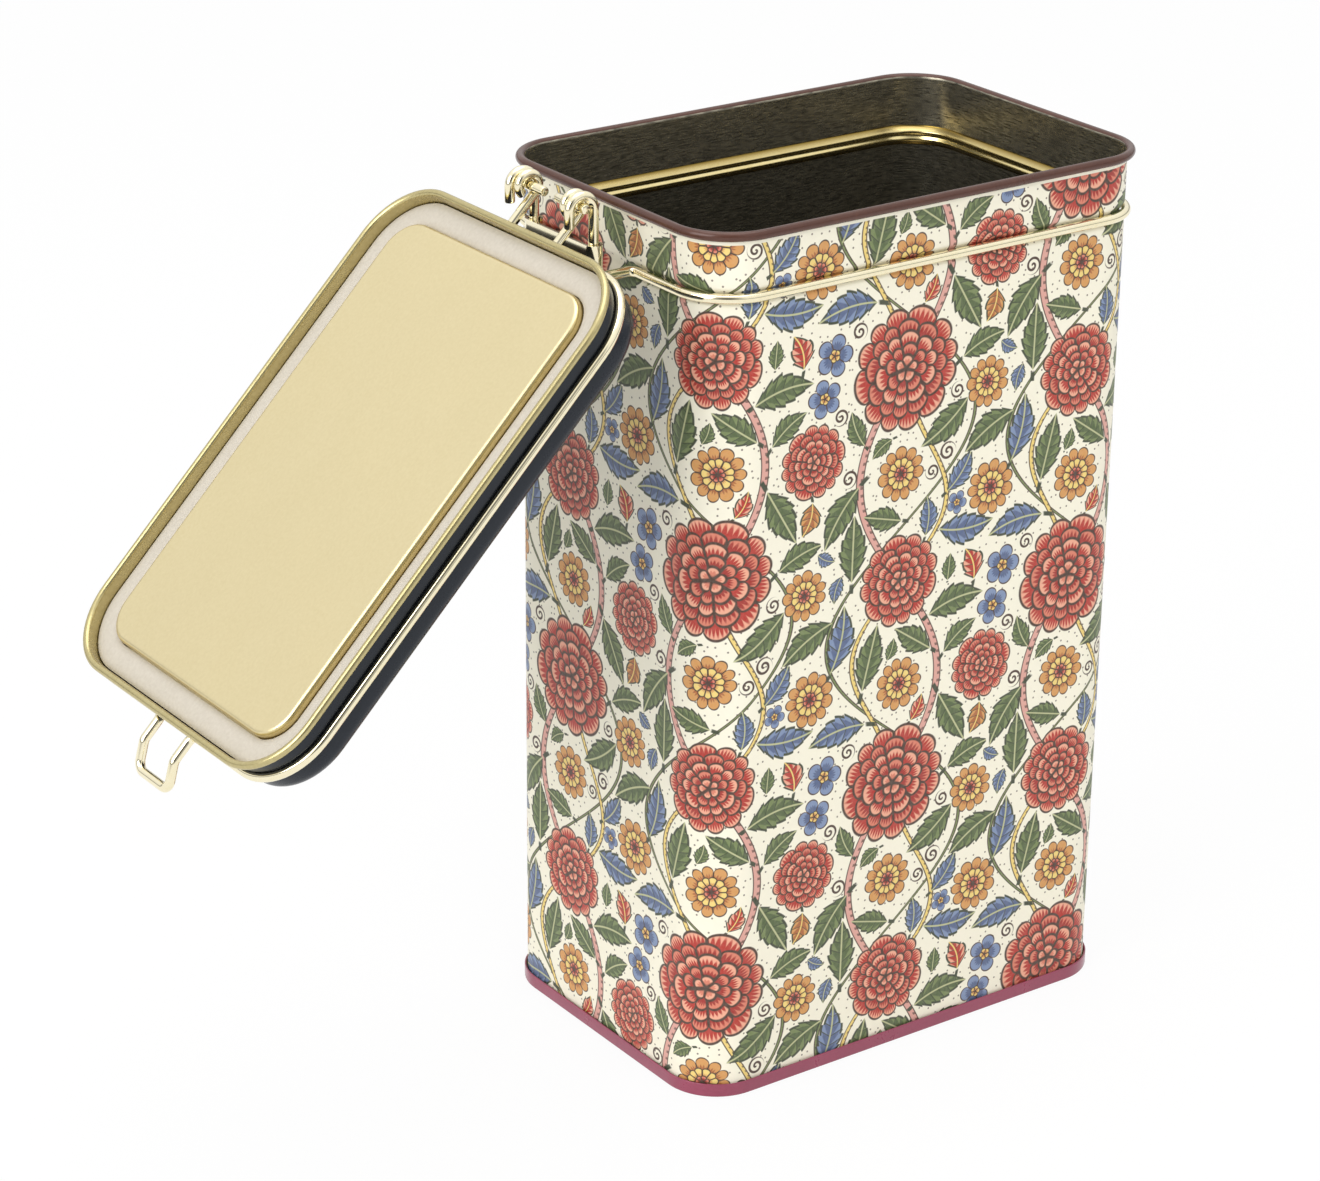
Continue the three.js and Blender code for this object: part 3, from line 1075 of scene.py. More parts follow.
LEAVES = LeafKind(tuple(Spot(*row) for row in (
    (17.3, 53.6, 267, 7.8, 15.0, 1.0), (-16.2, 63.3, 145, 7.8, 15.0, 0.8),
    (15.4, 11.3, 211, 7.8, 15.0, 0.0), (15.3, 38.4, 278, 7.8, 15.0, -1.0),
    (-24.0, 37.8, 119, 7.8, 15.0, 0.8), (-12.3, 55.7, 359, 7.8, 15.0, 0.0),
    (-15.4, 15.7, 97, 7.8, 15.0, 1.0), (11.0, 77.7, 125, 7.8, 15.0, -0.8),
    (-7.1, 30.3, 346, 7.8, 15.0, 0.0), (-14.6, 36.3, 348, 7.8, 15.0, 1.0),
    (20.2, 2.2, 288, 6.6, 12.0, -0.8), (4.1, 32.0, 55, 6.6, 12.0, 0.0),
    (15.7, 66.6, 323, 6.0, 10.5, 1.0), (16.5, 30.3, 304, 6.0, 10.5, -0.8),
    (-4.9, 60.6, 74, 6.0, 10.5, 0.0), (7.3, 58.8, 0, 5.4, 9.0, 1.0),
    (-12.4, 81.3, 24, 5.4, 9.0, -0.8), (29.5, 84.4, 163, 4.2, 6.2, 1.0),
    (40.2, 21.0, 124, 4.2, 6.2, 0.8), (13.2, 46.0, 355, 4.2, 6.2, 0.0),
    (26.7, 91.6, 242, 3.6, 5.2, 1.0), (44.7, 67.6, 341, 3.6, 5.2, 0.8),
)), SAGE, MOSS, SKY, DUSK, ink(186, 188, 142))

BUDS = LeafKind(tuple(Spot(*row) for row in (
    (19.6, 45.7, 20, 6.6, 8.0, 1.0), (22.6, 9.1, 160, 6.0, 7.4, -1.0),
    (6.3, 15.7, 333, 4.6, 6.4, 1.0),
)), AMBER, RUST, SHELL, RED, STRAW, veins=5.0, teeth=3.0)

CURLS = round_spots((32.2, 15.9, 2.1, 0), (33.9, 46.9, 2.0, 60), (11.7, 71.9, 2.2, 120),
                    (13.7, 84.8, 1.9, 200), (7.7, 68.3, 1.9, 280), (29.6, 29.7, 2.0, 330))

STEM = Vine((11.0, 0.0), 0.95, ink(216, 160, 148))
TWIG = Vine((-10.0, 3.5), 0.66, STRAW, 1.3)
RUNNER = Vine((18.5, 0.0), 0.50, SAGE, 1.1, lead=2.35)


class PrintGroups:
    """The node groups that draw the print's motifs."""

    def __init__(self) -> None:
        """Builds each motif's group once."""
        self.ring = self.make_ring()
        self.leaf = self.make_leaf()
        self.curl = self.make_curl()
        self.vine = self.make_vine()

    def make_ring(self) -> bpy.types.NodeTree:
        """Makes one ring of outlined, hatched petals over what lies under it.

        Returns:
            The group's tree.
        """
        net = GroupTree("petal_ring", {
            "Away": 0.0, "Angle": 0.0, "HalfCount": 3.0, "Phase": 0.0, "Reach": 1.0, "Notch": 0.2,
            "Strokes": 30.0, "Blush": 0.8, "Line": 0.04, "Deep": RED, "Pale": SHELL,
            "Under": CREAM,
        }, {"Colour": "Color"})
        given = net.given
        roundness, crisp, parting, soft = 0.55, 55.0, 60.0, 14.0
        gap_share, stroke_depth, petal_lift = 0.35, 0.13, 0.05
        away, line = given["Away"], given["Line"]
        wave = given["Angle"].times_plus(given["HalfCount"], given["Phase"]).cosine().size()
        low_edge = given["Reach"] - given["Notch"]
        edge = wave.power(roundness).times_plus(given["Notch"], low_edge)
        depth = edge - away
        inside = depth.step(0.0, crisp)
        filled = depth.step(line, crisp)
        gap = net.math("DIVIDE", wave * away, given["HalfCount"])
        apart = gap.step(line * gap_share, parting)
        stroke = (given["Angle"] * given["Strokes"]).sine().size()
        reached = net.math("DIVIDE", away, edge)
        hatched = stroke.times_plus(-stroke_depth, reached) + wave * petal_lift
        colour = net.mix(given["Deep"], given["Pale"], hatched.step(given["Blush"], soft))
        colour = net.mix(OUTLINE, colour, filled * apart)
        return net.give(Colour=net.mix(given["Under"], colour, inside))

    def make_leaf(self) -> bpy.types.NodeTree:
        """Makes a toothed leaf in one of two inks, with its rib, veins and stalk.

        Returns:
            The group's tree.
        """
        net = GroupTree("toothed_leaf", {
            "Spot": None, "Veins": 6.5, "Teeth": 6.0, "Light": SAGE, "Dark": MOSS,
            "OtherLight": SKY, "OtherDark": DUSK, "Rib": STRAW, "Under": CREAM,
        }, {"Colour": "Color"})
        given = net.given
        crisp, line, bend, vein_slant = 20.0, 0.15, 0.3, -0.9
        tooth_depth, tooth_start, taper, fullness = 0.2, 0.84, -0.45, 1.18
        shade_reach, shade_start, shade_soft = 0.55, 0.15, 9.0
        vein_line, vein_soft, rib_half, rib_crisp = 0.06, 12.0, 0.03, 25.0
        stalk_half, stalk_length, stalk_crisp, other_tone = 0.16, 0.2, 30.0, 0.9
        x, y, tone = net.split(given["Spot"])
        along = y.times_plus(0.5, 0.5)
        held = net.math("MULTIPLY_ADD", y, 0.5, 0.5, clamp=True)
        tooth = (along * given["Teeth"]).fraction()
        width = ((held * math.pi).sine() * held.times_plus(taper, fullness)
                 * tooth.times_plus(tooth_depth, tooth_start))
        off = (y * y * tone).times_plus(bend, x).size()
        depth = width - off
        inside = depth.step(0.0, crisp)
        filled = depth.step(line, crisp)
        vein = off.times_plus(vein_slant, along * given["Veins"]).fraction()
        shade = (off - width * vein.times_plus(shade_reach, shade_start)).step(0.0, shade_soft)
        other = tone.above(other_tone)
        light = net.mix(given["Light"], given["OtherLight"], other)
        dark = net.mix(given["Dark"], given["OtherDark"], other)
        colour = net.mix(dark, light, shade)
        colour = net.mix(FOREST, colour, filled * vein.step(vein_line, vein_soft))
        colour = net.mix(given["Rib"], colour, off.step(rib_half, rib_crisp))
        below = ((0.0 - along).step(0.0, stalk_crisp)
                 * (along + stalk_length).step(0.0, stalk_crisp))
        stalk = (stalk_half - off).step(0.0, crisp) * below
        under = net.mix(given["Under"], FOREST, stalk)
        return net.give(Colour=net.mix(under, colour, inside))

    def make_curl(self) -> bpy.types.NodeTree:
        """Makes a small curled tendril.

        Returns:
            The group's tree.
        """
        net = GroupTree("curled_tendril", {"Spot": None, "Under": CREAM}, {"Colour": "Color"})
        windings, line_half, crisp, end_crisp = 1.7, 0.26, 12.0, 10.0
        x, y, _ = net.split(net.given["Spot"])
        away = net.vector("LENGTH", net.given["Spot"], output=1)
        angle = net.math("ARCTAN2", y, x)
        turns = angle.times_plus(1 / math.tau, away * windings).fraction()
        line = (line_half - (turns - 0.5).size()).step(0.0, crisp)
        mask = line * (1.0 - away).step(0.0, end_crisp)
        return net.give(Colour=net.mix(net.given["Under"], OUTLINE, mask))

    def make_vine(self) -> bpy.types.NodeTree:
        """Makes a winding stem, hatched along one side.

        Returns:
            The group's tree.
        """
        net = GroupTree("winding_stem", {
            "Aside": 0.0, "Up": 0.0, "Swing": 10.0, "Second": 0.0, "HalfWidth": 1.0, "Pitch": 1.7,
            "Turn": 0.07, "Lead": 0.0, "Fill": SHELL, "Under": CREAM,
        }, {"Colour": "Color"})
        given = net.given
        lean, line, crisp = 0.86, 0.24, 8.0
        tick_share, tick_start, tick_crisp, tick_ink = 0.42, 0.05, 9.0, 0.75
        phase = given["Up"].times_plus(given["Turn"], given["Lead"])
        bend = phase.sine() * given["Swing"] + (phase * 2.0).sine() * given["Second"]
        off = given["Aside"] - bend
        depth = given["HalfWidth"] - off.size() * lean
        hatch = (given["Up"] * net.math("DIVIDE", 1.0, given["Pitch"])).fraction()
        ticks = (tick_share - hatch).step(0.0, tick_crisp) * off.step(tick_start, tick_crisp)
        colour = net.mix(given["Fill"], OUTLINE, ticks * tick_ink)
        colour = net.mix(OUTLINE, colour, depth.step(line, crisp))
        return net.give(Colour=net.mix(given["Under"], colour, depth.step(0.0, crisp)))


@dataclass(frozen=True)
class PrintedTin:
    """The varnished print on the wall's outside."""

    name: str = "printed_outside"
    repeat: Repeat = Repeat()
    dot_pitch: float = 2.3
    roughness: float = 0.42
    girth: float = 351.26
    margin_height: float = 185.5
    seam_margin: float = 0.8
    seam_line: float = 0.18
    dot_radius: float = 0.115
    dot_ink: float = 0.8
    dot_scatter: float = 0.75
    dust: Colour = ink(222, 214, 196)
    dust_share: float = 0.10
    smudge_roughness: float = 0.10
    specular: float = 0.4
    bump: float = 0.03
    grain_fineness: float = 1600.0
    mark_fineness: float = 45.0

    def nearest(self, net: NodeNet, place: Signal, spots: Sequence[Spot]) -> Signal:
        """Gives the coordinates of whichever motif of a kind is nearest.

        Args:
            net: The material's node net.
            place: The place in repeat units.
            spots: The kind's spots.

        Returns:
            That motif's own coordinates.
        """
        chosen, least = None, None
        for spot in spots:
            local = spot.local(net, self.repeat, place)
            far = net.dot(local, local)
            if spot.tone:
                far = far - spot.tone * spot.tone
            if chosen is None:
                chosen, least = local, far
                continue
            nearer = net.math("LESS_THAN", far, least)
            chosen = net.mix(chosen, local, nearer, MixKind.VECTOR)
            least = net.math("MINIMUM", far, least)
        return chosen

    def ground(self, net: NodeNet, spot: Signal) -> Signal:
        """Gives the cream ground with its scattered dots.

        Args:
            net: The material's node net.
            spot: The way round the wall and the height.

        Returns:
            The ground's colours.
        """
        cells = net.node("ShaderNodeTexVoronoi", voronoi_dimensions="2D")
        net.fill(cells, {"Vector": spot, "Scale": 1 / self.dot_pitch,
                         "Randomness": self.dot_scatter})
        crisp = 25.0
        dots = (self.dot_radius - Signal(net, cells.outputs["Distance"])).step(0.0, crisp)
        return net.mix(CREAM, OUTLINE, dots * self.dot_ink)

    def stem(self, net: NodeNet, groups: PrintGroups, place: Signal, vine: Vine,
             under: Signal) -> Signal:
        """Lays one winding stem over the colours under it.

        Args:
            net: The material's node net.
            groups: The motifs' groups.
            place: The place in repeat units.
            vine: The stem.
            under: The colours under it.

        Returns:
            The colours with the stem.
        """
        repeat = self.repeat
        way = repeat.folded(net, place, 0.0, 0.0)
        return net.group(
            groups.vine, Aside=net.dot(way, (repeat.column, 0.0, 0.0)),
            Up=net.dot(way, (repeat.drop, repeat.height, 0.0)), Swing=vine.swings[0],
            Second=vine.swings[1], HalfWidth=vine.half_width, Pitch=vine.hatch_pitch,
            Turn=math.tau / repeat.height, Lead=vine.lead, Fill=vine.fill, Under=under)["Colour"]

    def foliage(self, net: NodeNet, groups: PrintGroups, place: Signal, kind: LeafKind,
                under: Signal) -> Signal:
        """Lays a kind of leaf or bud over the colours under it.

        Args:
            net: The material's node net.
            groups: The motifs' groups.
            place: The place in repeat units.
            kind: The kind of leaf or bud.
            under: The colours under it.

        Returns:
            The colours with the leaves.
        """
        return net.group(
            groups.leaf, Spot=self.nearest(net, place, kind.spots), Veins=kind.veins,
            Teeth=kind.teeth, Light=kind.light, Dark=kind.dark, OtherLight=kind.other_light,
            OtherDark=kind.other_dark, Rib=kind.rib, Under=under)["Colour"]

    def flower(self, net: NodeNet, groups: PrintGroups, place: Signal, flower: Flower,
               under: Signal) -> Signal:
        """Lays a kind of flower over the colours under it.

        Args:
            net: The material's node net.
            groups: The motifs' groups.
            place: The place in repeat units.
            flower: The kind of flower.
            under: The colours under it.

        Returns:
            The colours with the flowers.
        """
        local = self.nearest(net, place, flower.spots)
        x, y, _ = net.split(local)
        away = net.vector("LENGTH", local, output=1)
        angle = net.math("ARCTAN2", y, x)
        if flower.sway:
            angle = (angle * flower.sway_count).sine().times_plus(flower.sway, angle)
        colour = under
        for ring in flower.rings:
            colour = net.group(
                groups.ring, Away=away, Angle=angle, HalfCount=ring.count / 2, Phase=ring.phase,
                Reach=ring.reach, Notch=ring.notch, Strokes=ring.strokes, Blush=ring.blush,
                Line=ring.line, Deep=ring.deep, Pale=ring.pale, Under=colour)["Colour"]
        return colour

    def margins(self, net: NodeNet, spot: Signal, under: Signal) -> Signal:
        """Leaves the plain margins under the rim and beside the side seam.

        Args:
            net: The material's node net.
            spot: The way round the wall and the height.
            under: The printed colours.

        Returns:
            The colours with the margins.
        """
        crisp, line_crisp, line_ink = 8.0, 12.0, 0.6
        travel, height, _ = net.split(spot)
        from_seam = net.math("WRAP", travel, self.girth / 2, -self.girth / 2).size()
        plain = net.math("MAXIMUM", height.step(self.margin_height, crisp),
                         (self.seam_margin - from_seam).step(0.0, crisp))
        line = (self.seam_line - from_seam).step(0.0, line_crisp) * line_ink
        return net.mix(net.mix(under, CREAM, plain), OUTLINE, line)

    def material(self, surface: SurfaceEffects) -> bpy.types.Material:
        """Makes the material.

        Args:
            surface: The shared node groups.

        Returns:
            The material.
        """
        groups = PrintGroups()
        material, net, shader = fresh_material(self.name)
        spot = net.print_spot()
        place = self.repeat.place(net, spot)
        colour = self.ground(net, spot)
        curls = self.nearest(net, place, CURLS)
        colour = net.group(groups.curl, Spot=curls, Under=colour)["Colour"]
        for vine in (RUNNER, TWIG, STEM):
            colour = self.stem(net, groups, place, vine, colour)
        colour = self.foliage(net, groups, place, LEAVES, colour)
        colour = self.foliage(net, groups, place, BUDS, colour)
        for flower in FLOWERS:
            colour = self.flower(net, groups, place, flower, colour)
        colour = self.margins(net, spot, colour)
        here = net.object_place()
        grain = net.group(surface.grain, Place=here, Fineness=self.grain_fineness)["Value"]
        marks = net.group(surface.marks, Place=here, Fineness=self.mark_fineness)["Value"]
        net.fill(shader, {
            "Base Color": net.mix(colour, self.dust, grain * self.dust_share),
            "Roughness": marks.times_plus(self.smudge_roughness, self.roughness),
            "Specular IOR Level": self.specular,
        })
        net.bump(shader, grain, self.bump)
        return material


RIM_LACQUER = SheetFinish("rim_lacquer", ink(94, 60, 48), ink(74, 46, 38), 0.1, 0.24,
                          roughness_spread=0.04, coat=0.22, specular=0.3, bump=0.003)
# The inside wall and its bead are one lacquer in two copies. The wall's copy runs its rolled
# streaks down to near black as painted shade inside the tin. The bead's copy is brighter as a
# painted highlight, with painted shade towards its edges.
INNER_SHADED_LACQUER = SheetFinish("inner_painted_shade_lacquer", ink(190, 183, 162), ink(70, 68, 61), 0.88, 0.25,
                            roughness_spread=0.06, streak_share=0.85, bump=0.0,
                            stretch=LEVEL_ROLLING, contrast=2.2)
BASE_LACQUER = SheetFinish("base_lacquer", ink(204, 192, 158), ink(168, 156, 124), 0.88, 0.22,
                           roughness_spread=0.06, streak_share=0.6, stretch=FLAT_ROLLING, bump=0.01)
BEAD_HIGHLIGHT_LACQUER = SheetFinish("bead_painted_highlight_lacquer", ink(246, 231, 178), ink(226, 206, 142), 1.0, 0.20,
                           roughness_spread=0.04, bump=0.005, edge_shade=ink(140, 116, 54),
                           edge_shade_middle=174.9, edge_shade_start=0.7, edge_shade_width=1.3)
SEAM_PAINT = SheetFinish("foot_seam_paint", ink(152, 60, 88), ink(134, 48, 74), 0.0, 0.28, coat=0.4,
                         bump=0.01)
DARK_LACQUER = SheetFinish("lid_dark_lacquer", ink(32, 37, 45), ink(26, 31, 38), 0.0, 0.26,
                           roughness_spread=0.04, coat=0.08, specular=0.26, bump=0.004)
GOLD_LACQUER = SheetFinish("lid_gold_lacquer", ink(233, 219, 176), ink(224, 209, 164), 1.0, 0.32,
                           roughness_spread=0.05, streak_share=0.2)
# A greener, darker copy of the gold lacquer for the shell's inside and rolled edge; its darkness is
# painted shade.
EDGE_SHADED_LACQUER = SheetFinish("lid_edge_painted_shade_lacquer", ink(206, 194, 146), ink(188, 174, 124), 1.0, 0.26,
                           roughness_spread=0.06, streak_share=0.2, bump=0.0)
# A darker copy of the gold lacquer for the raised panel's side: painted shade.
SIDE_SHADED_LACQUER = SheetFinish("panel_side_painted_shade_lacquer", ink(222, 205, 152), ink(203, 184, 128), 1.0, 0.28,
                           roughness_spread=0.05, streak_share=0.2, bump=0.01)
SEAL_RUBBER = SheetFinish("seal_rubber", ink(204, 197, 184), ink(189, 181, 167), 0.0, 0.6,
                          streak_share=0.2, bump=0.06)
BRASS_WIRE = SheetFinish("brass_wire", ink(249, 241, 214), ink(241, 230, 190), 1.0, 0.09,
                         roughness_spread=0.04, bump=0.0)


# The tin's sub-assemblies


@dataclass
class TinBody:
    """The printed wall, the seamed base, the wire round the wall and the hinge clip."""

    outline: Footprint
    height: float = 190.0
    sheet: float = 0.4
    panel_recess: float = 1.5
    rim_curl_radius: float = 1.0
    rim_curl_degrees: float = 280.0
    groove_below_rim: float = 13.6
    groove_depth: float = 1.1
    groove_height: float = 4.4
    bead_hollow: float = 0.32
    bead_flat: float = 0.38
    seat_gap: float = 0.3
    fit_gap: float = 0.25
    seam_floor: float = 0.5
    seam_height: float = 3.0
    seam_sheet: float = 0.4
    channel_width: float = 2.6
    countersink_width: float = 1.4
    panel_sheet: float = 0.4
    wire_radius: float = 1.05
    wire_bend: float = 1.8
    hinge_reach: float = 12.6
    hook_spacing: float = 21.0
    hook_radius: float = 2.85
    hook_tail: float = 3.3
    pin_radius: float = 1.0
    latch_bar_reach: float = 6.0
    latch_bar_width: float = 14.0
    clip_sheet: float = 0.5
    clip_height: float = 5.1
    clip_wrap: float = 235.0
    clip_sharp_degrees: float = 50.0
    curl_steps: int = 28
    inner_curl_steps: int = 20
    bead_steps: int = 50
    lacquered_curl_bands: int = 4
    seam_round: float = 0.25
    seam_crown: float = 0.2
    seam_steps: int = 6
    seam_flat: float = 0.5
    panel_hold: float = 0.6

    @property
    def rim_top(self) -> float:
        """Height of the rim's top."""
        return self.height - self.panel_recess

    @property
    def rim_outset(self) -> float:
        """How far the rolled rim stands out from the wall."""
        return 2 * self.rim_curl_radius - self.sheet

    @property
    def groove_z(self) -> float:
        """Height of the wire's groove."""
        return self.rim_top - self.groove_below_rim

    @property
    def pivot_x(self) -> float:
        """Place of the lid's hinge line along the tin."""
        return -(self.outline.half_length + self.hinge_reach)

    @property
    def latch_x(self) -> float:
        """Place of the latch bar along the tin."""
        return self.outline.half_length + self.latch_bar_reach

    def wall(self) -> Draft:
        """Gives the side wall with its groove and its rolled rim.

        Returns:
            The wall's draft.
        """
        inner_radius = self.rim_curl_radius - self.sheet
        curl = (inner_radius, self.rim_top - self.rim_curl_radius)
        curl_end = 180 - self.rim_curl_degrees
        foot = self.seam_floor - self.panel_recess + self.seat_gap
        pressed = (self.groove_z, self.groove_depth, self.groove_height)
        outside = [(0.0, foot), *groove(0.0, *pressed)]
        inner_curl = arc(curl, inner_radius, 180, curl_end, self.inner_curl_steps)
        rim = arc(curl, self.rim_curl_radius, curl_end, 180, self.curl_steps)
        ridge = groove(-self.sheet, *pressed, self.bead_hollow, self.bead_flat,
                       self.bead_steps)[::-1]
        section = outside + inner_curl + rim + ridge + [(-self.sheet, foot)]
        printed_end = len(outside)
        ridge_start = printed_end + len(inner_curl) + len(rim)
        rim_end = ridge_start - self.lacquered_curl_bands

        def finish_of(band: int) -> int:
            """Chooses a band's finish.

            Args:
                band: The band's number along the section.

            Returns:
                0 for the print, 1 for the rim, 2 for the inside, in its copy of the lacquer
                darkened as painted shade, and 3 for its bead, in its copy brightened as painted
                highlight.
            """
            if band < printed_end:
                return 0
            if band < rim_end:
                return 1
            return 3 if ridge_start <= band < ridge_start + len(ridge) - 1 else 2

        return self.outline.sweep(section, True, finish_of)

    def base(self) -> Draft:
        """Gives the base panel and the seam that grips the wall's foot.

        Returns:
            The base's draft.
        """
        foot = -self.panel_recess
        floor = foot + self.seam_floor
        lip_inner = self.seat_gap
        lip_outer = self.seat_gap + self.seam_sheet
        top = foot + self.seam_height
        panel_edge = -(self.channel_width + self.countersink_width)
        rounded, crown = self.seam_round, self.seam_crown
        lower = arc((lip_outer - rounded, foot + rounded), rounded, 270, 360, self.seam_steps)
        upper = arc((lip_outer - crown, top - crown), crown, 0, 90, self.seam_steps)
        section = [
            (panel_edge - self.panel_hold, 0.0), (panel_edge, 0.0),
            (-self.channel_width, foot), (-self.channel_width + self.seam_flat, foot),
            *lower, *upper,
            (lip_inner, top - crown), (lip_inner, floor),
            (self.seat_gap - self.channel_width, floor),
            (panel_edge + self.seat_gap, self.panel_sheet),
            (panel_edge - self.panel_hold, self.panel_sheet),
        ]
        painted_start, painted_end = 2, 4 + len(lower) + len(upper)

        def finish_of(band: int) -> int:
            """Returns 0 for the painted seam and 1 for the lacquered panel."""
            return 0 if painted_start <= band < painted_end else 1

        return self.outline.sweep(section, False, finish_of)

    def wire(self, pivot_z: float) -> Draft:
        """Gives the wire round the wall, with its hinge hooks and its latch bar.

        Args:
            pivot_z: Height of the lid's hinge line.

        Returns:
            The wire's draft.
        """
        outset = self.seat_gap + self.wire_radius - self.groove_depth
        y = -self.hook_spacing / 2
        crown = pivot_z + self.pin_radius + self.fit_gap + self.wire_radius
        tail_x = self.pivot_x - self.hook_radius
        leg_x = self.pivot_x + self.hook_radius
        run_x = self.outline.half_length + outset
        run_y = -(self.outline.half_width + outset)
        run_radius = self.outline.corner_radius + outset
        bar_y = -self.latch_bar_width / 2
        z = self.groove_z
        return Wire(both_sides([
            Corner(tail_x, y, crown - self.hook_radius - self.hook_tail),
            Corner(tail_x, y, crown, self.hook_radius),
            Corner(leg_x, y, crown, self.hook_radius),
            Corner(leg_x, y, z, self.wire_bend),
            Corner(-run_x, y, z, self.wire_bend),
            Corner(-run_x, run_y, z, run_radius),
            Corner(run_x, run_y, z, run_radius),
            Corner(run_x, bar_y, z, self.wire_bend),
            Corner(self.latch_x, bar_y, z, self.wire_bend),
        ]), self.wire_radius).draft()

    def clip(self) -> Draft:
        """Gives the flat strap whose ends are rolled round the two hook legs.

        Returns:
            The clip's draft.
        """
        leg = (self.pivot_x + self.hook_radius, self.hook_spacing / 2)
        inner = self.wire_radius + self.fit_gap
        outer = inner + self.clip_sheet
        wrap_end = 180 - self.clip_wrap
        upper = (arc(leg, outer, 180, wrap_end, self.curl_steps)
                 + arc(leg, inner, wrap_end, 180, self.curl_steps))
        lower = [(x, -y) for x, y in upper][::-1]
        bottom = self.groove_z + self.wire_bend + self.fit_gap
        return strap(upper + lower, bottom, self.clip_height)

    def build(self, finishes: dict[str, bpy.types.Material], pivot_z: float) -> None:
        """Builds the body's pieces.

        Args:
            finishes: The materials by name.
            pivot_z: Height of the lid's hinge line.
        """
        wall = ("printed_outside", "rim_lacquer", "inner_painted_shade_lacquer", "bead_painted_highlight_lacquer")
        base = ("foot_seam_paint", "base_lacquer")
        brass = ("brass_wire",)
        rows = (
            ("printed_wall", "body_wall", Slot.PRINTED_TIN, self.wall(), wall),
            ("seamed_base", "base_panel", Slot.SEAM_PAINT, self.base(), base),
            ("round_wire", "body_wire", Slot.BRASS_WIRE, self.wire(pivot_z), brass),
        )
        for name, node, slot, draft, names in rows:
            Piece(name, Body.TIN, node, slot).make(draft, [finishes[key] for key in names])
        clip = Piece("rolled_clip", Body.TIN, "hinge_clip", Slot.BRASS_WIRE,
                     self.clip_sharp_degrees)
        clip.make(self.clip(), [finishes[name] for name in brass])


def strap(corners: Sequence[Pair], bottom: float, height: float, ease: float = 0.08) -> Draft:
    """Raises a closed outline to a strap whose long edges are eased.

    Args:
        corners: The outline of x and y, anticlockwise.
        bottom: The height of its lower edge.
        height: How high it is.
        ease: How far the edges are drawn in.

    Returns:
        The strap's draft.
    """
    draft = Draft()
    count = len(corners)
    outward = []
    for i in range(count):
        before, after = Vector(corners[i - 1]), Vector(corners[(i + 1) % count])
        along = (after - before).normalized()
        outward.append((along.y, -along.x))
    levels = ((bottom, -ease), (bottom + ease, 0.0),
              (bottom + height - ease, 0.0), (bottom + height, -ease))
    for z, inset in levels:
        for (x, y), (out_x, out_y) in zip(corners, outward):
            draft.points.append(Vector((x + out_x * inset, y + out_y * inset, z)))
    for level in range(len(levels) - 1):
        for i in range(count):
            j = (i + 1) % count
            low, high = level * count, (level + 1) * count
            draft.faces.append((low + i, low + j, high + j, high + i))
    draft.faces.extend(flat_caps(count, count // 2, (len(levels) - 1) * count))
    draft.finishes = [0] * len(draft.faces)
    return draft


def flat_caps(count: int, half: int, top: int) -> list[tuple[int, ...]]:
    """Gives the faces that close a strap above and below.

    Args:
        count: The number of its corners.
        half: The number of corners of one rolled end.
        top: The first index of the top level.

    Returns:
        Quads between the strap's outer and inner lines, and one across between the rolled ends.
    """
    line = half // 2
    faces = []
    for end in (0, half):
        for i in range(line - 1):
            a, b = end + i, end + i + 1
            c, d = end + half - 2 - i, end + half - 1 - i
            faces.append((d, c, b, a))
            faces.append((top + a, top + b, top + c, top + d))
    outer_upper, inner_upper = 0, half - 1
    inner_lower, outer_lower = half, count - 1
    faces.append((outer_upper, outer_lower, inner_lower, inner_upper))
    faces.append((top + inner_upper, top + inner_lower, top + outer_lower, top + outer_upper))
    return faces


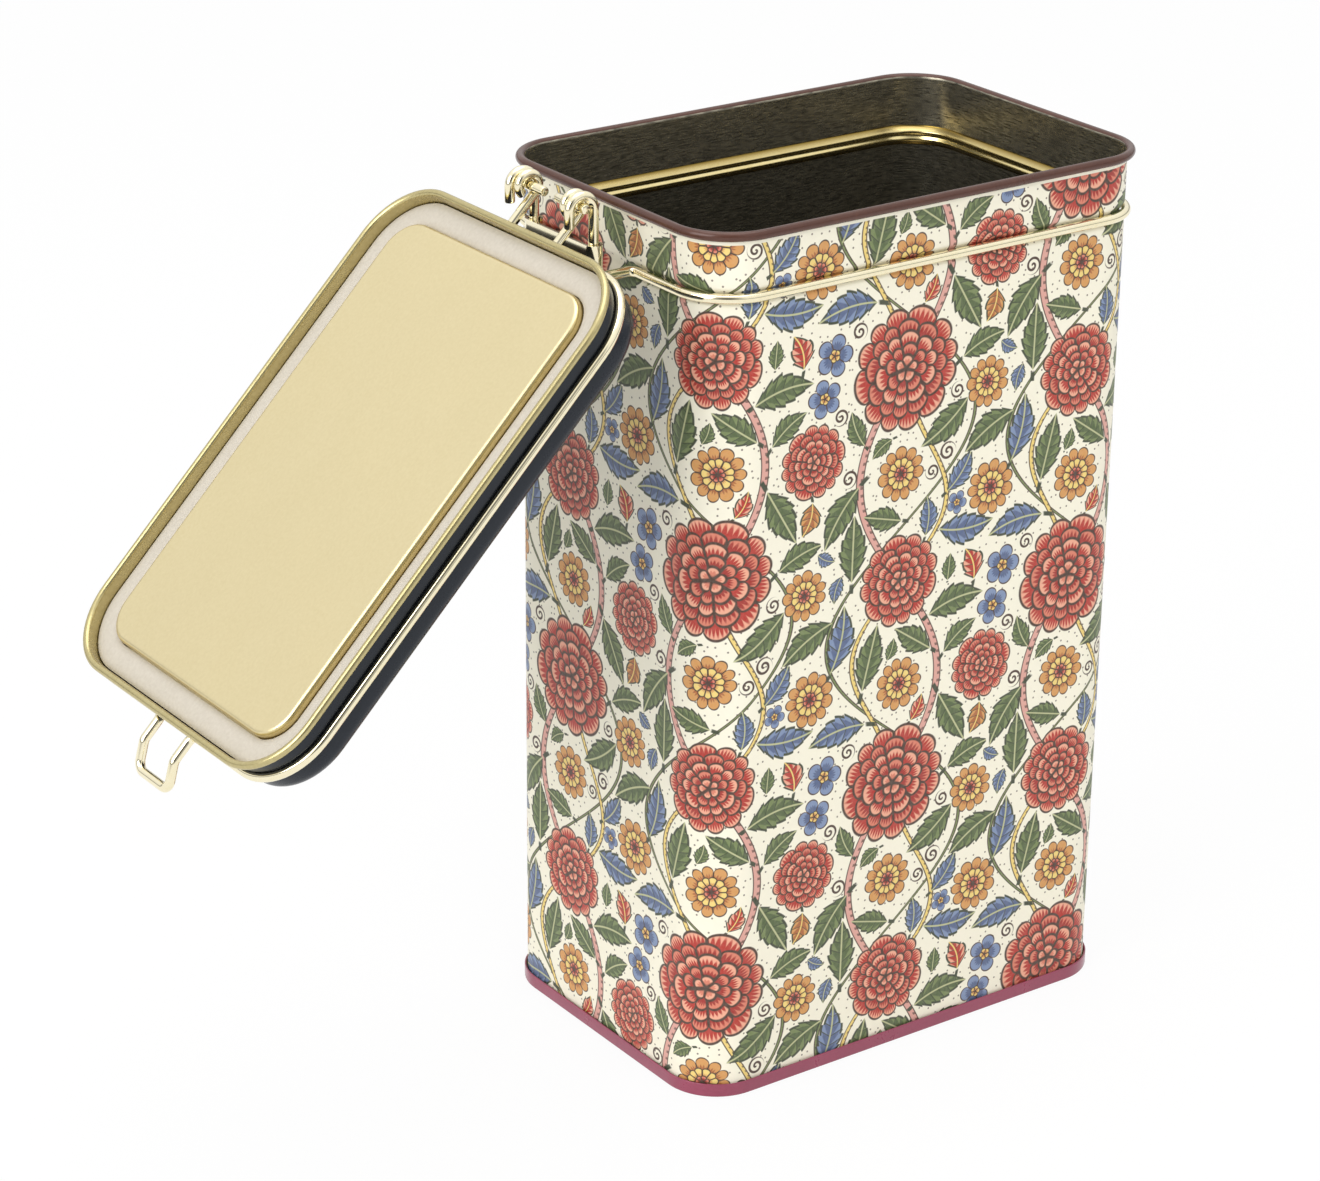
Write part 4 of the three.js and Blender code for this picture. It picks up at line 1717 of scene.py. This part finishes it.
@dataclass
class HingedLid:
    """The lid's shell, inner plate, seal, wire and hinge pins, drawn shut and turned open."""

    outline: Footprint
    tin: TinBody
    sheet: float = 0.4
    height: float = 12.4
    overlap: float = 2.1
    curl_radius: float = 0.8
    curl_degrees: float = 250.0
    top_radius: float = 3.0
    groove_above_edge: float = 5.7
    groove_depth: float = 1.0
    groove_height: float = 3.4
    open_degrees: float = 225.5
    seal_width: float = 5.5
    seal_thickness: float = 1.5
    seal_round: float = 0.45
    seal_steps: int = 18
    seal_press: float = 0.4
    plate_sheet: float = 0.4
    plate_proud: float = 1.3
    plate_radius: float = 1.0
    wire_radius: float = 1.0
    arm_spacing: float = 16.0
    eye_tail: float = 0.2
    pin_length: float = 10.0
    pin_overhang: float = 1.7
    pin_end_round: float = 0.3
    loop_width: float = 12.0
    loop_kink: float = 5.3
    loop_reach: float = 10.55
    loop_rise: float = 3.0
    loop_bend: float = 2.2
    shoulder_steps: int = 12
    curl_steps: int = 24
    inner_curl_steps: int = 18
    plate_steps: int = 14
    shell_hold: float = 0.5
    plate_hold: float = 0.4
    plate_flat: float = 4.0

    @property
    def skirt_inset(self) -> float:
        """Offset of the skirt's inner face."""
        return self.tin.rim_outset + self.tin.seat_gap

    @property
    def skirt_outset(self) -> float:
        """Offset of the skirt's outer face."""
        return self.skirt_inset + self.sheet

    @property
    def edge_z(self) -> float:
        """Height of the lid's edge when shut."""
        return self.tin.rim_top - self.overlap

    @property
    def groove_z(self) -> float:
        """Height of the lid wire's groove when shut."""
        return self.edge_z + self.groove_above_edge

    @property
    def eye_radius(self) -> float:
        """Bend radius of the eyes round the hinge pins."""
        return self.tin.pin_radius + self.tin.fit_gap + self.wire_radius

    @property
    def pivot_z(self) -> float:
        """Height of the hinge line."""
        return self.groove_z - self.eye_radius

    @property
    def seal_z(self) -> float:
        """Height of the seal's face when shut."""
        return self.tin.rim_top + self.seal_press

    @property
    def plate_edge(self) -> float:
        """Offset of the raised panel's edge."""
        return self.skirt_inset - self.tin.fit_gap - self.seal_width - self.tin.fit_gap

    def shell(self) -> Draft:
        """Gives the dark shell with its shoulder, its groove and its rolled edge.

        Returns:
            The shell's draft.
        """
        curl = (self.skirt_inset + self.curl_radius, self.edge_z + self.curl_radius)
        shoulder = (self.skirt_outset - self.top_radius,
                    self.edge_z + self.height - self.top_radius)
        curl_end = 180 + self.curl_degrees
        pressed = (self.groove_z, self.groove_depth, self.groove_height)
        inner_shoulder = arc(shoulder, self.top_radius - self.sheet, 90, 0, self.shoulder_steps)
        ridge = groove(self.skirt_inset, *pressed)[::-1]
        outer_curl = arc(curl, self.curl_radius, 180, curl_end, self.curl_steps)
        inner_curl = arc(curl, self.curl_radius - self.sheet, curl_end, 180,
                         self.inner_curl_steps)
        outside = groove(self.skirt_outset, *pressed)
        outer_shoulder = arc(shoulder, self.top_radius, 0, 90, self.shoulder_steps)
        section = [
            (inner_shoulder[0][0] - self.shell_hold, inner_shoulder[0][1]),
            *inner_shoulder, *ridge, *outer_curl, *inner_curl, *outside, *outer_shoulder,
            (outer_shoulder[-1][0] - self.shell_hold, outer_shoulder[-1][1]),
        ]
        gold_end = 1 + len(inner_shoulder) + len(ridge) + len(outer_curl)

        def finish_of(band: int) -> int:
            """Returns 0 for the dark outside and 1 for the gold inside and edge, in a darker copy
            of the gold as painted shade.
            """
            return 1 if band < gold_end else 0

        return self.outline.sweep(section, False, finish_of)

    def inner_plate(self) -> Draft:
        """Gives the gold plate whose raised panel enters the tin's mouth.

        Returns:
            The plate's draft.
        """
        face_z = self.seal_z - self.plate_proud
        flange_z = self.seal_z + self.seal_thickness + self.tin.fit_gap
        flange_edge = self.skirt_inset - self.groove_depth - self.tin.seat_gap
        centre = (self.plate_edge - self.plate_radius, face_z + self.plate_radius)
        under = arc(centre, self.plate_radius, 270, 360, self.plate_steps)
        over = arc(centre, self.plate_radius - self.plate_sheet, 360, 270, self.plate_steps)
        section = [
            (under[0][0] - self.plate_flat, face_z), (under[0][0] - self.plate_hold, face_z),
            *under, (self.plate_edge, flange_z),
            (flange_edge, flange_z), (flange_edge, flange_z + self.plate_sheet),
            (self.plate_edge - self.plate_sheet, flange_z + self.plate_sheet),
            *over, (over[-1][0] - self.plate_hold, face_z + self.plate_sheet),
        ]
        side_start, side_end = 2 + len(under) // 2, 2 + len(under)

        def finish_of(band: int) -> int:
            """Returns 0 for the plate and 1 for the drawn side of its raised panel, in a darker
            copy of the gold as painted shade.
            """
            return 1 if side_start <= band < side_end else 0

        return self.outline.sweep(section, False, finish_of)

    def seal(self) -> Draft:
        """Gives the flat sealing ring round the raised panel.

        Returns:
            The seal's draft.
        """
        outer = self.skirt_inset - self.tin.fit_gap
        inner = outer - self.seal_width
        top = self.seal_z + self.seal_thickness
        face = []
        for step in range(self.seal_steps + 1):
            side = math.cos(math.pi * step / self.seal_steps)
            offset = (inner + outer) / 2 - side * self.seal_width / 2
            face.append((offset, self.seal_z + self.seal_round * abs(side) ** 3))
        return self.outline.sweep(face + [(outer, top), (inner, top)], True)

    def wire(self) -> Draft:
        """Gives the lid's wire with its eyes and its upturned finger loop.

        Returns:
            The wire's draft.
        """
        tin = self.tin
        outset = self.skirt_outset - self.groove_depth + tin.seat_gap + self.wire_radius
        edge_outset = self.skirt_inset + 2 * self.curl_radius
        y = -self.arm_spacing / 2
        run_x = self.outline.half_length + outset
        run_y = -(self.outline.half_width + outset)
        run_radius = self.outline.corner_radius + outset
        loop_y = -self.loop_width / 2
        kink_x = self.outline.half_length + edge_outset + self.loop_kink
        tip_x = self.outline.half_length + edge_outset + self.loop_reach
        z, eye = self.groove_z, self.eye_radius
        return Wire(both_sides([
            Corner(tin.pivot_x + eye, y, self.pivot_z + self.eye_tail),
            Corner(tin.pivot_x + eye, y, self.pivot_z - eye, eye),
            Corner(tin.pivot_x - eye, y, self.pivot_z - eye, eye),
            Corner(tin.pivot_x - eye, y, z, eye),
            Corner(-run_x, y, z, tin.wire_bend),
            Corner(-run_x, run_y, z, run_radius),
            Corner(run_x, run_y, z, run_radius),
            Corner(run_x, loop_y, z, tin.wire_bend),
            Corner(kink_x, loop_y, z, self.loop_bend),
            Corner(tip_x, loop_y, z + self.loop_rise, self.loop_bend),
        ]), self.wire_radius).draft()

    def pin(self, side: int) -> Draft:
        """Gives one hinge pin.

        Args:
            side: 1 for the left pin and -1 for the right one.

        Returns:
            The pin's draft.
        """
        outer = side * (self.tin.hook_spacing / 2 + self.pin_overhang)
        inner = outer - side * self.pin_length
        low, high = min(outer, inner), max(outer, inner)
        x, z = self.tin.pivot_x, self.pivot_z
        ends = [Corner(x, low, z), Corner(x, high, z)]
        return Wire(ends, self.tin.pin_radius, end_round=self.pin_end_round).draft()

    def build(self, finishes: dict[str, bpy.types.Material]) -> None:
        """Builds the lid's pieces in the open position.

        Args:
            finishes: The materials by name.
        """
        turn = Matrix.Rotation(math.radians(-self.open_degrees), 3, "Y")
        pivot = Vector((self.tin.pivot_x, 0.0, self.pivot_z))
        brass = ("brass_wire",)
        shell = ("lid_dark_lacquer", "lid_edge_painted_shade_lacquer")
        plate = ("lid_gold_lacquer", "panel_side_painted_shade_lacquer")
        rows = (
            ("dark_shell", "lid_shell", Slot.DARK_LACQUER, self.shell(), shell),
            ("gold_plate", "lid_inner_plate", Slot.GOLD_LACQUER, self.inner_plate(), plate),
            ("flat_seal", "lid_gasket", Slot.SEAL_RUBBER, self.seal(), ("seal_rubber",)),
            ("lid_round_wire", "lid_wire", Slot.BRASS_WIRE, self.wire(), brass),
            ("left_pin", "hinge_pin_left", Slot.BRASS_WIRE, self.pin(1), brass),
            ("right_pin", "hinge_pin_right", Slot.BRASS_WIRE, self.pin(-1), brass),
        )
        for name, node, slot, draft, names in rows:
            Piece(name, Body.LID, node, slot).make(
                draft.turned(turn, pivot), [finishes[key] for key in names])


@dataclass
class WireLatch:
    """The lever on the latch bar and the link that it pulls over the lid's loop."""

    tin: TinBody
    lid: HingedLid
    wire_radius: float = 0.8
    lever_width: float = 6.6
    lever_crank: float = 7.0
    lever_waist: float = 3.6
    lever_waist_offset: float = 0.9
    lever_knee: float = 12.0
    lever_length: float = 22.0
    lever_kick: float = 8.19
    lever_bend: float = 1.2
    lever_knee_bend: float = 3.0
    lever_stub: float = 7.6
    link_width: float = 18.6
    link_corner: float = 1.8
    link_seat_reach: float = 5.3
    link_hook_turn: float = 50.0

    @property
    def lever_eye(self) -> float:
        """Bend radius of the lever's hook over the latch bar."""
        return self.tin.wire_radius + self.tin.fit_gap + self.wire_radius

    @property
    def link_pivot(self) -> Vector:
        """The line that the link turns about."""
        return Vector((self.tin.latch_x - self.lever_eye, 0.0,
                       self.tin.groove_z - self.lever_crank))

    def lever(self) -> Draft:
        """Gives the lever: stubs for the link, a hook over the bar and a thumb loop.

        Returns:
            The lever's draft.
        """
        y = -self.lever_width / 2
        z = self.tin.groove_z
        back = self.tin.latch_x - self.lever_eye
        front = self.tin.latch_x + self.lever_eye
        waist = self.tin.latch_x + self.lever_waist_offset
        low = self.link_pivot.z
        return Wire(both_sides([
            Corner(back, y - self.lever_stub, low),
            Corner(back, y, low, self.lever_bend),
            Corner(back, y, z + self.lever_eye, self.lever_eye),
            Corner(front, y, z + self.lever_eye, self.lever_eye),
            Corner(front, y, z - self.lever_eye / 2, self.lever_bend),
            Corner(waist, y, z - self.lever_waist, self.lever_bend),
            Corner(waist, y, z - self.lever_knee, self.lever_knee_bend),
            Corner(waist + self.lever_kick, y, z - self.lever_length, self.lever_bend),
        ]), self.wire_radius).draft()

    def link(self) -> Draft:
        """Gives the link, a wire frame hooked round the lever's stubs.

        Returns:
            The link's draft.
        """
        y = -self.link_width / 2
        r = 2 * self.wire_radius + self.tin.fit_gap
        pivot = self.link_pivot
        seat_x = self.tin.outline.half_length + self.link_seat_reach
        seat_z = self.lid.groove_z + self.lid.wire_radius + self.tin.seat_gap + self.wire_radius
        reach = math.hypot(seat_x - pivot.x, seat_z - pivot.z)
        drop = math.sqrt(reach * reach - r * r)
        turn = math.radians(self.link_hook_turn)
        setback = r * math.tan(turn / 2)
        tail = setback + self.tin.fit_gap
        draft = Wire(both_sides([
            Corner(tail * math.sin(turn) - r, y, -setback - tail * math.cos(turn)),
            Corner(-r, y, -setback, r),
            Corner(-r, y, r, r),
            Corner(r, y, r, r),
            Corner(r, y, -drop, self.link_corner),
        ]), self.wire_radius).draft()
        lean = Matrix.Rotation(math.atan2(r, drop), 3, "Y")
        return draft.turned(lean, Vector()).moved(pivot)

    def build(self, finishes: dict[str, bpy.types.Material]) -> None:
        """Builds the lever and the link.

        Args:
            finishes: The materials by name.
        """
        brass = [finishes["brass_wire"]]
        lever = Piece("thumb_lever", Body.LEVER, "latch_lever", Slot.BRASS_WIRE)
        lever.make(self.lever(), brass)
        link = Piece("link_frame", Body.LINK, "latch_link", Slot.BRASS_WIRE)
        link.make(self.link(), brass)


# The studio


@dataclass(frozen=True)
class PhotoCamera:
    """The camera that the photograph was measured to have."""

    azimuth: float = -35.43
    elevation: float = 22.76
    roll: float = 0.50
    distance: float = 826.89
    focal_pixels: float = 3846.58
    frame_width: int = 1320
    aim_height: float = 93.5
    shift_right: float = -33.56
    shift_up: float = -3.47
    sensor: float = 36.0
    nearest: float = 0.01

    def build(self) -> bpy.types.Object:
        """Places the camera and makes it the scene's own.

        Returns:
            The camera.
        """
        azimuth, elevation = math.radians(self.azimuth), math.radians(self.elevation)
        roll = math.radians(self.roll)
        back = Vector((math.sin(azimuth) * math.cos(elevation),
                       -math.cos(azimuth) * math.cos(elevation), math.sin(elevation)))
        right = (-back).cross(Vector((0, 0, 1))).normalized()
        up = right.cross(-back)
        tilted_right = right * math.cos(roll) + up * math.sin(roll)
        tilted_up = up * math.cos(roll) - right * math.sin(roll)
        aim = (Vector((0, 0, self.aim_height)) + tilted_right * self.shift_right
               + tilted_up * self.shift_up)
        lens = bpy.data.cameras.new("photo_camera")
        lens.sensor_width = self.sensor
        lens.lens = self.sensor * self.focal_pixels / self.frame_width
        lens.clip_start = self.nearest
        camera = bpy.data.objects.new("photo_camera", lens)
        basis = Matrix((tilted_right, tilted_up, back)).transposed().to_4x4()
        basis.translation = (aim + back * self.distance) * METRE
        camera.matrix_world = basis
        bpy.context.scene.collection.objects.link(camera)
        bpy.context.scene.camera = camera
        return camera


@dataclass(frozen=True)
class Lamp:
    """A soft box: where it hangs, its size and its power."""

    name: str
    place: tuple[float, float, float]
    size: float
    watts: float
    in_gloss: bool = True
    aim: tuple[float, float, float] = (0.0, 0.0, 0.1)

    def build(self) -> None:
        """Hangs the lamp, turned to the tin. Lengths are metres."""
        light = bpy.data.lights.new(self.name, "AREA")
        light.shape = "SQUARE"
        light.size = self.size
        light.energy = self.watts
        made = bpy.data.objects.new(self.name, light)
        made.visible_glossy = self.in_gloss
        made.location = self.place
        way = Vector(self.aim) - Vector(self.place)
        made.rotation_euler = way.to_track_quat("-Z", "Y").to_euler()
        bpy.context.scene.collection.objects.link(made)


@dataclass(frozen=True)
class Studio:
    """The pale floor, the white surroundings and the soft boxes."""

    floor_size: float = 6.0
    floor_drop: float = -1.5
    floor_white: float = 0.92
    floor_grey: float = 0.95
    floor_roughness: float = 0.9
    floor_specular: float = 0.1
    fill_level: float = 0.60
    dark_middle: float = 0.07
    dark_half: float = 0.14
    dark_share: float = 0.70
    room_way: tuple[float, float, float] = (-0.534, -0.751, 0.387)
    room_edge: float = 0.85
    room_share: float = 0.95
    gloss_low: float = 0.84
    gloss_rise: float = 0.34
    lamps: tuple[Lamp, ...] = (
        Lamp("front_box", (-0.35, -1.5, 1.0), 1.2, 7.0, in_gloss=False),
        Lamp("left_box", (-1.6, -0.2, 0.9), 1.2, 16.0),
        Lamp("top_box", (0.1, 0.1, 1.7), 1.4, 9.0),
    )

    def floor(self) -> None:
        """Lays the floor, which keeps the tin's shadow on a white ground."""
        half = self.floor_size / 2
        mesh = bpy.data.meshes.new("floor")
        z = self.floor_drop * METRE
        mesh.from_pydata([(-half, -half, z), (half, -half, z), (half, half, z), (-half, half, z)],
                         [], [(0, 1, 2, 3)])
        made = bpy.data.objects.new("floor", mesh)
        bpy.context.scene.collection.objects.link(made)
        material, net, shader = fresh_material("pale_floor")
        grey = self.floor_grey
        net.fill(shader, {"Base Color": (grey, grey, grey, 1.0), "Roughness": self.floor_roughness,
                          "Specular IOR Level": self.floor_specular})
        glow = net.node("ShaderNodeEmission", {"Strength": 1.0})
        path = net.node("ShaderNodeLightPath")
        seen = net.math("MAXIMUM", Signal(net, path.outputs["Is Camera Ray"]),
                        Signal(net, path.outputs["Is Glossy Ray"]))
        blend = net.node("ShaderNodeMixShader", {
            0: seen * self.floor_white, 1: Signal(net, shader.outputs[0]),
            2: Signal(net, glow.outputs[0])})
        output = material.node_tree.nodes["Material Output"]
        net.feed(output.inputs["Surface"], Signal(net, blend.outputs[0]))
        mesh.materials.append(material)

    def world(self) -> None:
        """Makes the surroundings: white, with two dark parts that only gloss picks up.

        One is a band low down, and the other is the dim room on the side that the photo was taken
        from. What gloss picks up also grows brighter towards the top.
        """
        world = bpy.data.worlds.new("white_studio")
        bpy.context.scene.world = world
        world.use_nodes = True
        net = NodeNet(world.node_tree)
        ground = world.node_tree.nodes["Background"]
        path = net.node("ShaderNodeLightPath")
        camera, glossy, through = (Signal(net, path.outputs[name]) for name in
                                   ("Is Camera Ray", "Is Glossy Ray", "Is Transmission Ray"))
        way = Signal(net, net.node("ShaderNodeTexCoord").outputs["Generated"])
        _, _, height = net.split(way)
        band = (self.dark_half - (height - self.dark_middle).size()).step(0.0, 1 / self.dark_half)
        facing = net.dot(way, self.room_way)
        room = facing.step(self.room_edge, 1 / (1 - self.room_edge)) * self.room_share
        dark = net.math("MAXIMUM", band * self.dark_share, room)
        shown = net.math("MAXIMUM", camera, through)
        mirrored = height.times_plus(self.gloss_rise, self.gloss_low) * (1.0 - dark)
        strength = shown * (1 - self.fill_level) + self.fill_level
        net.fill(ground, {"Color": (1.0, 1.0, 1.0, 1.0),
                          "Strength": strength * (1.0 - glossy) + mirrored * glossy})

    def build(self) -> None:
        """Builds the floor, the surroundings and the lamps."""
        self.floor()
        self.world()
        for lamp in self.lamps:
            lamp.build()
        bpy.context.scene.view_settings.view_transform = "Standard"


def make_finishes() -> dict[str, bpy.types.Material]:
    """Makes every material once.

    Returns:
        The materials by name.
    """
    surface = SurfaceEffects()
    sheets = (PrintedTin(), RIM_LACQUER, INNER_SHADED_LACQUER, BASE_LACQUER, BEAD_HIGHLIGHT_LACQUER, SEAM_PAINT,
              DARK_LACQUER, GOLD_LACQUER, EDGE_SHADED_LACQUER, SIDE_SHADED_LACQUER, SEAL_RUBBER, BRASS_WIRE)
    return {sheet.name: sheet.material(surface) for sheet in sheets}


def main() -> None:
    """Builds the camera, the studio and the tin's sub-assemblies in order."""
    logging.basicConfig(level=logging.INFO, format="%(name)s: %(message)s")
    PhotoCamera().build()
    Studio().build()
    finishes = make_finishes()
    outline = Footprint()
    tin = TinBody(outline)
    lid = HingedLid(outline, tin)
    tin.build(finishes, lid.pivot_z)
    lid.build(finishes)
    WireLatch(tin, lid).build(finishes)


if __name__ == "__main__":
    main()
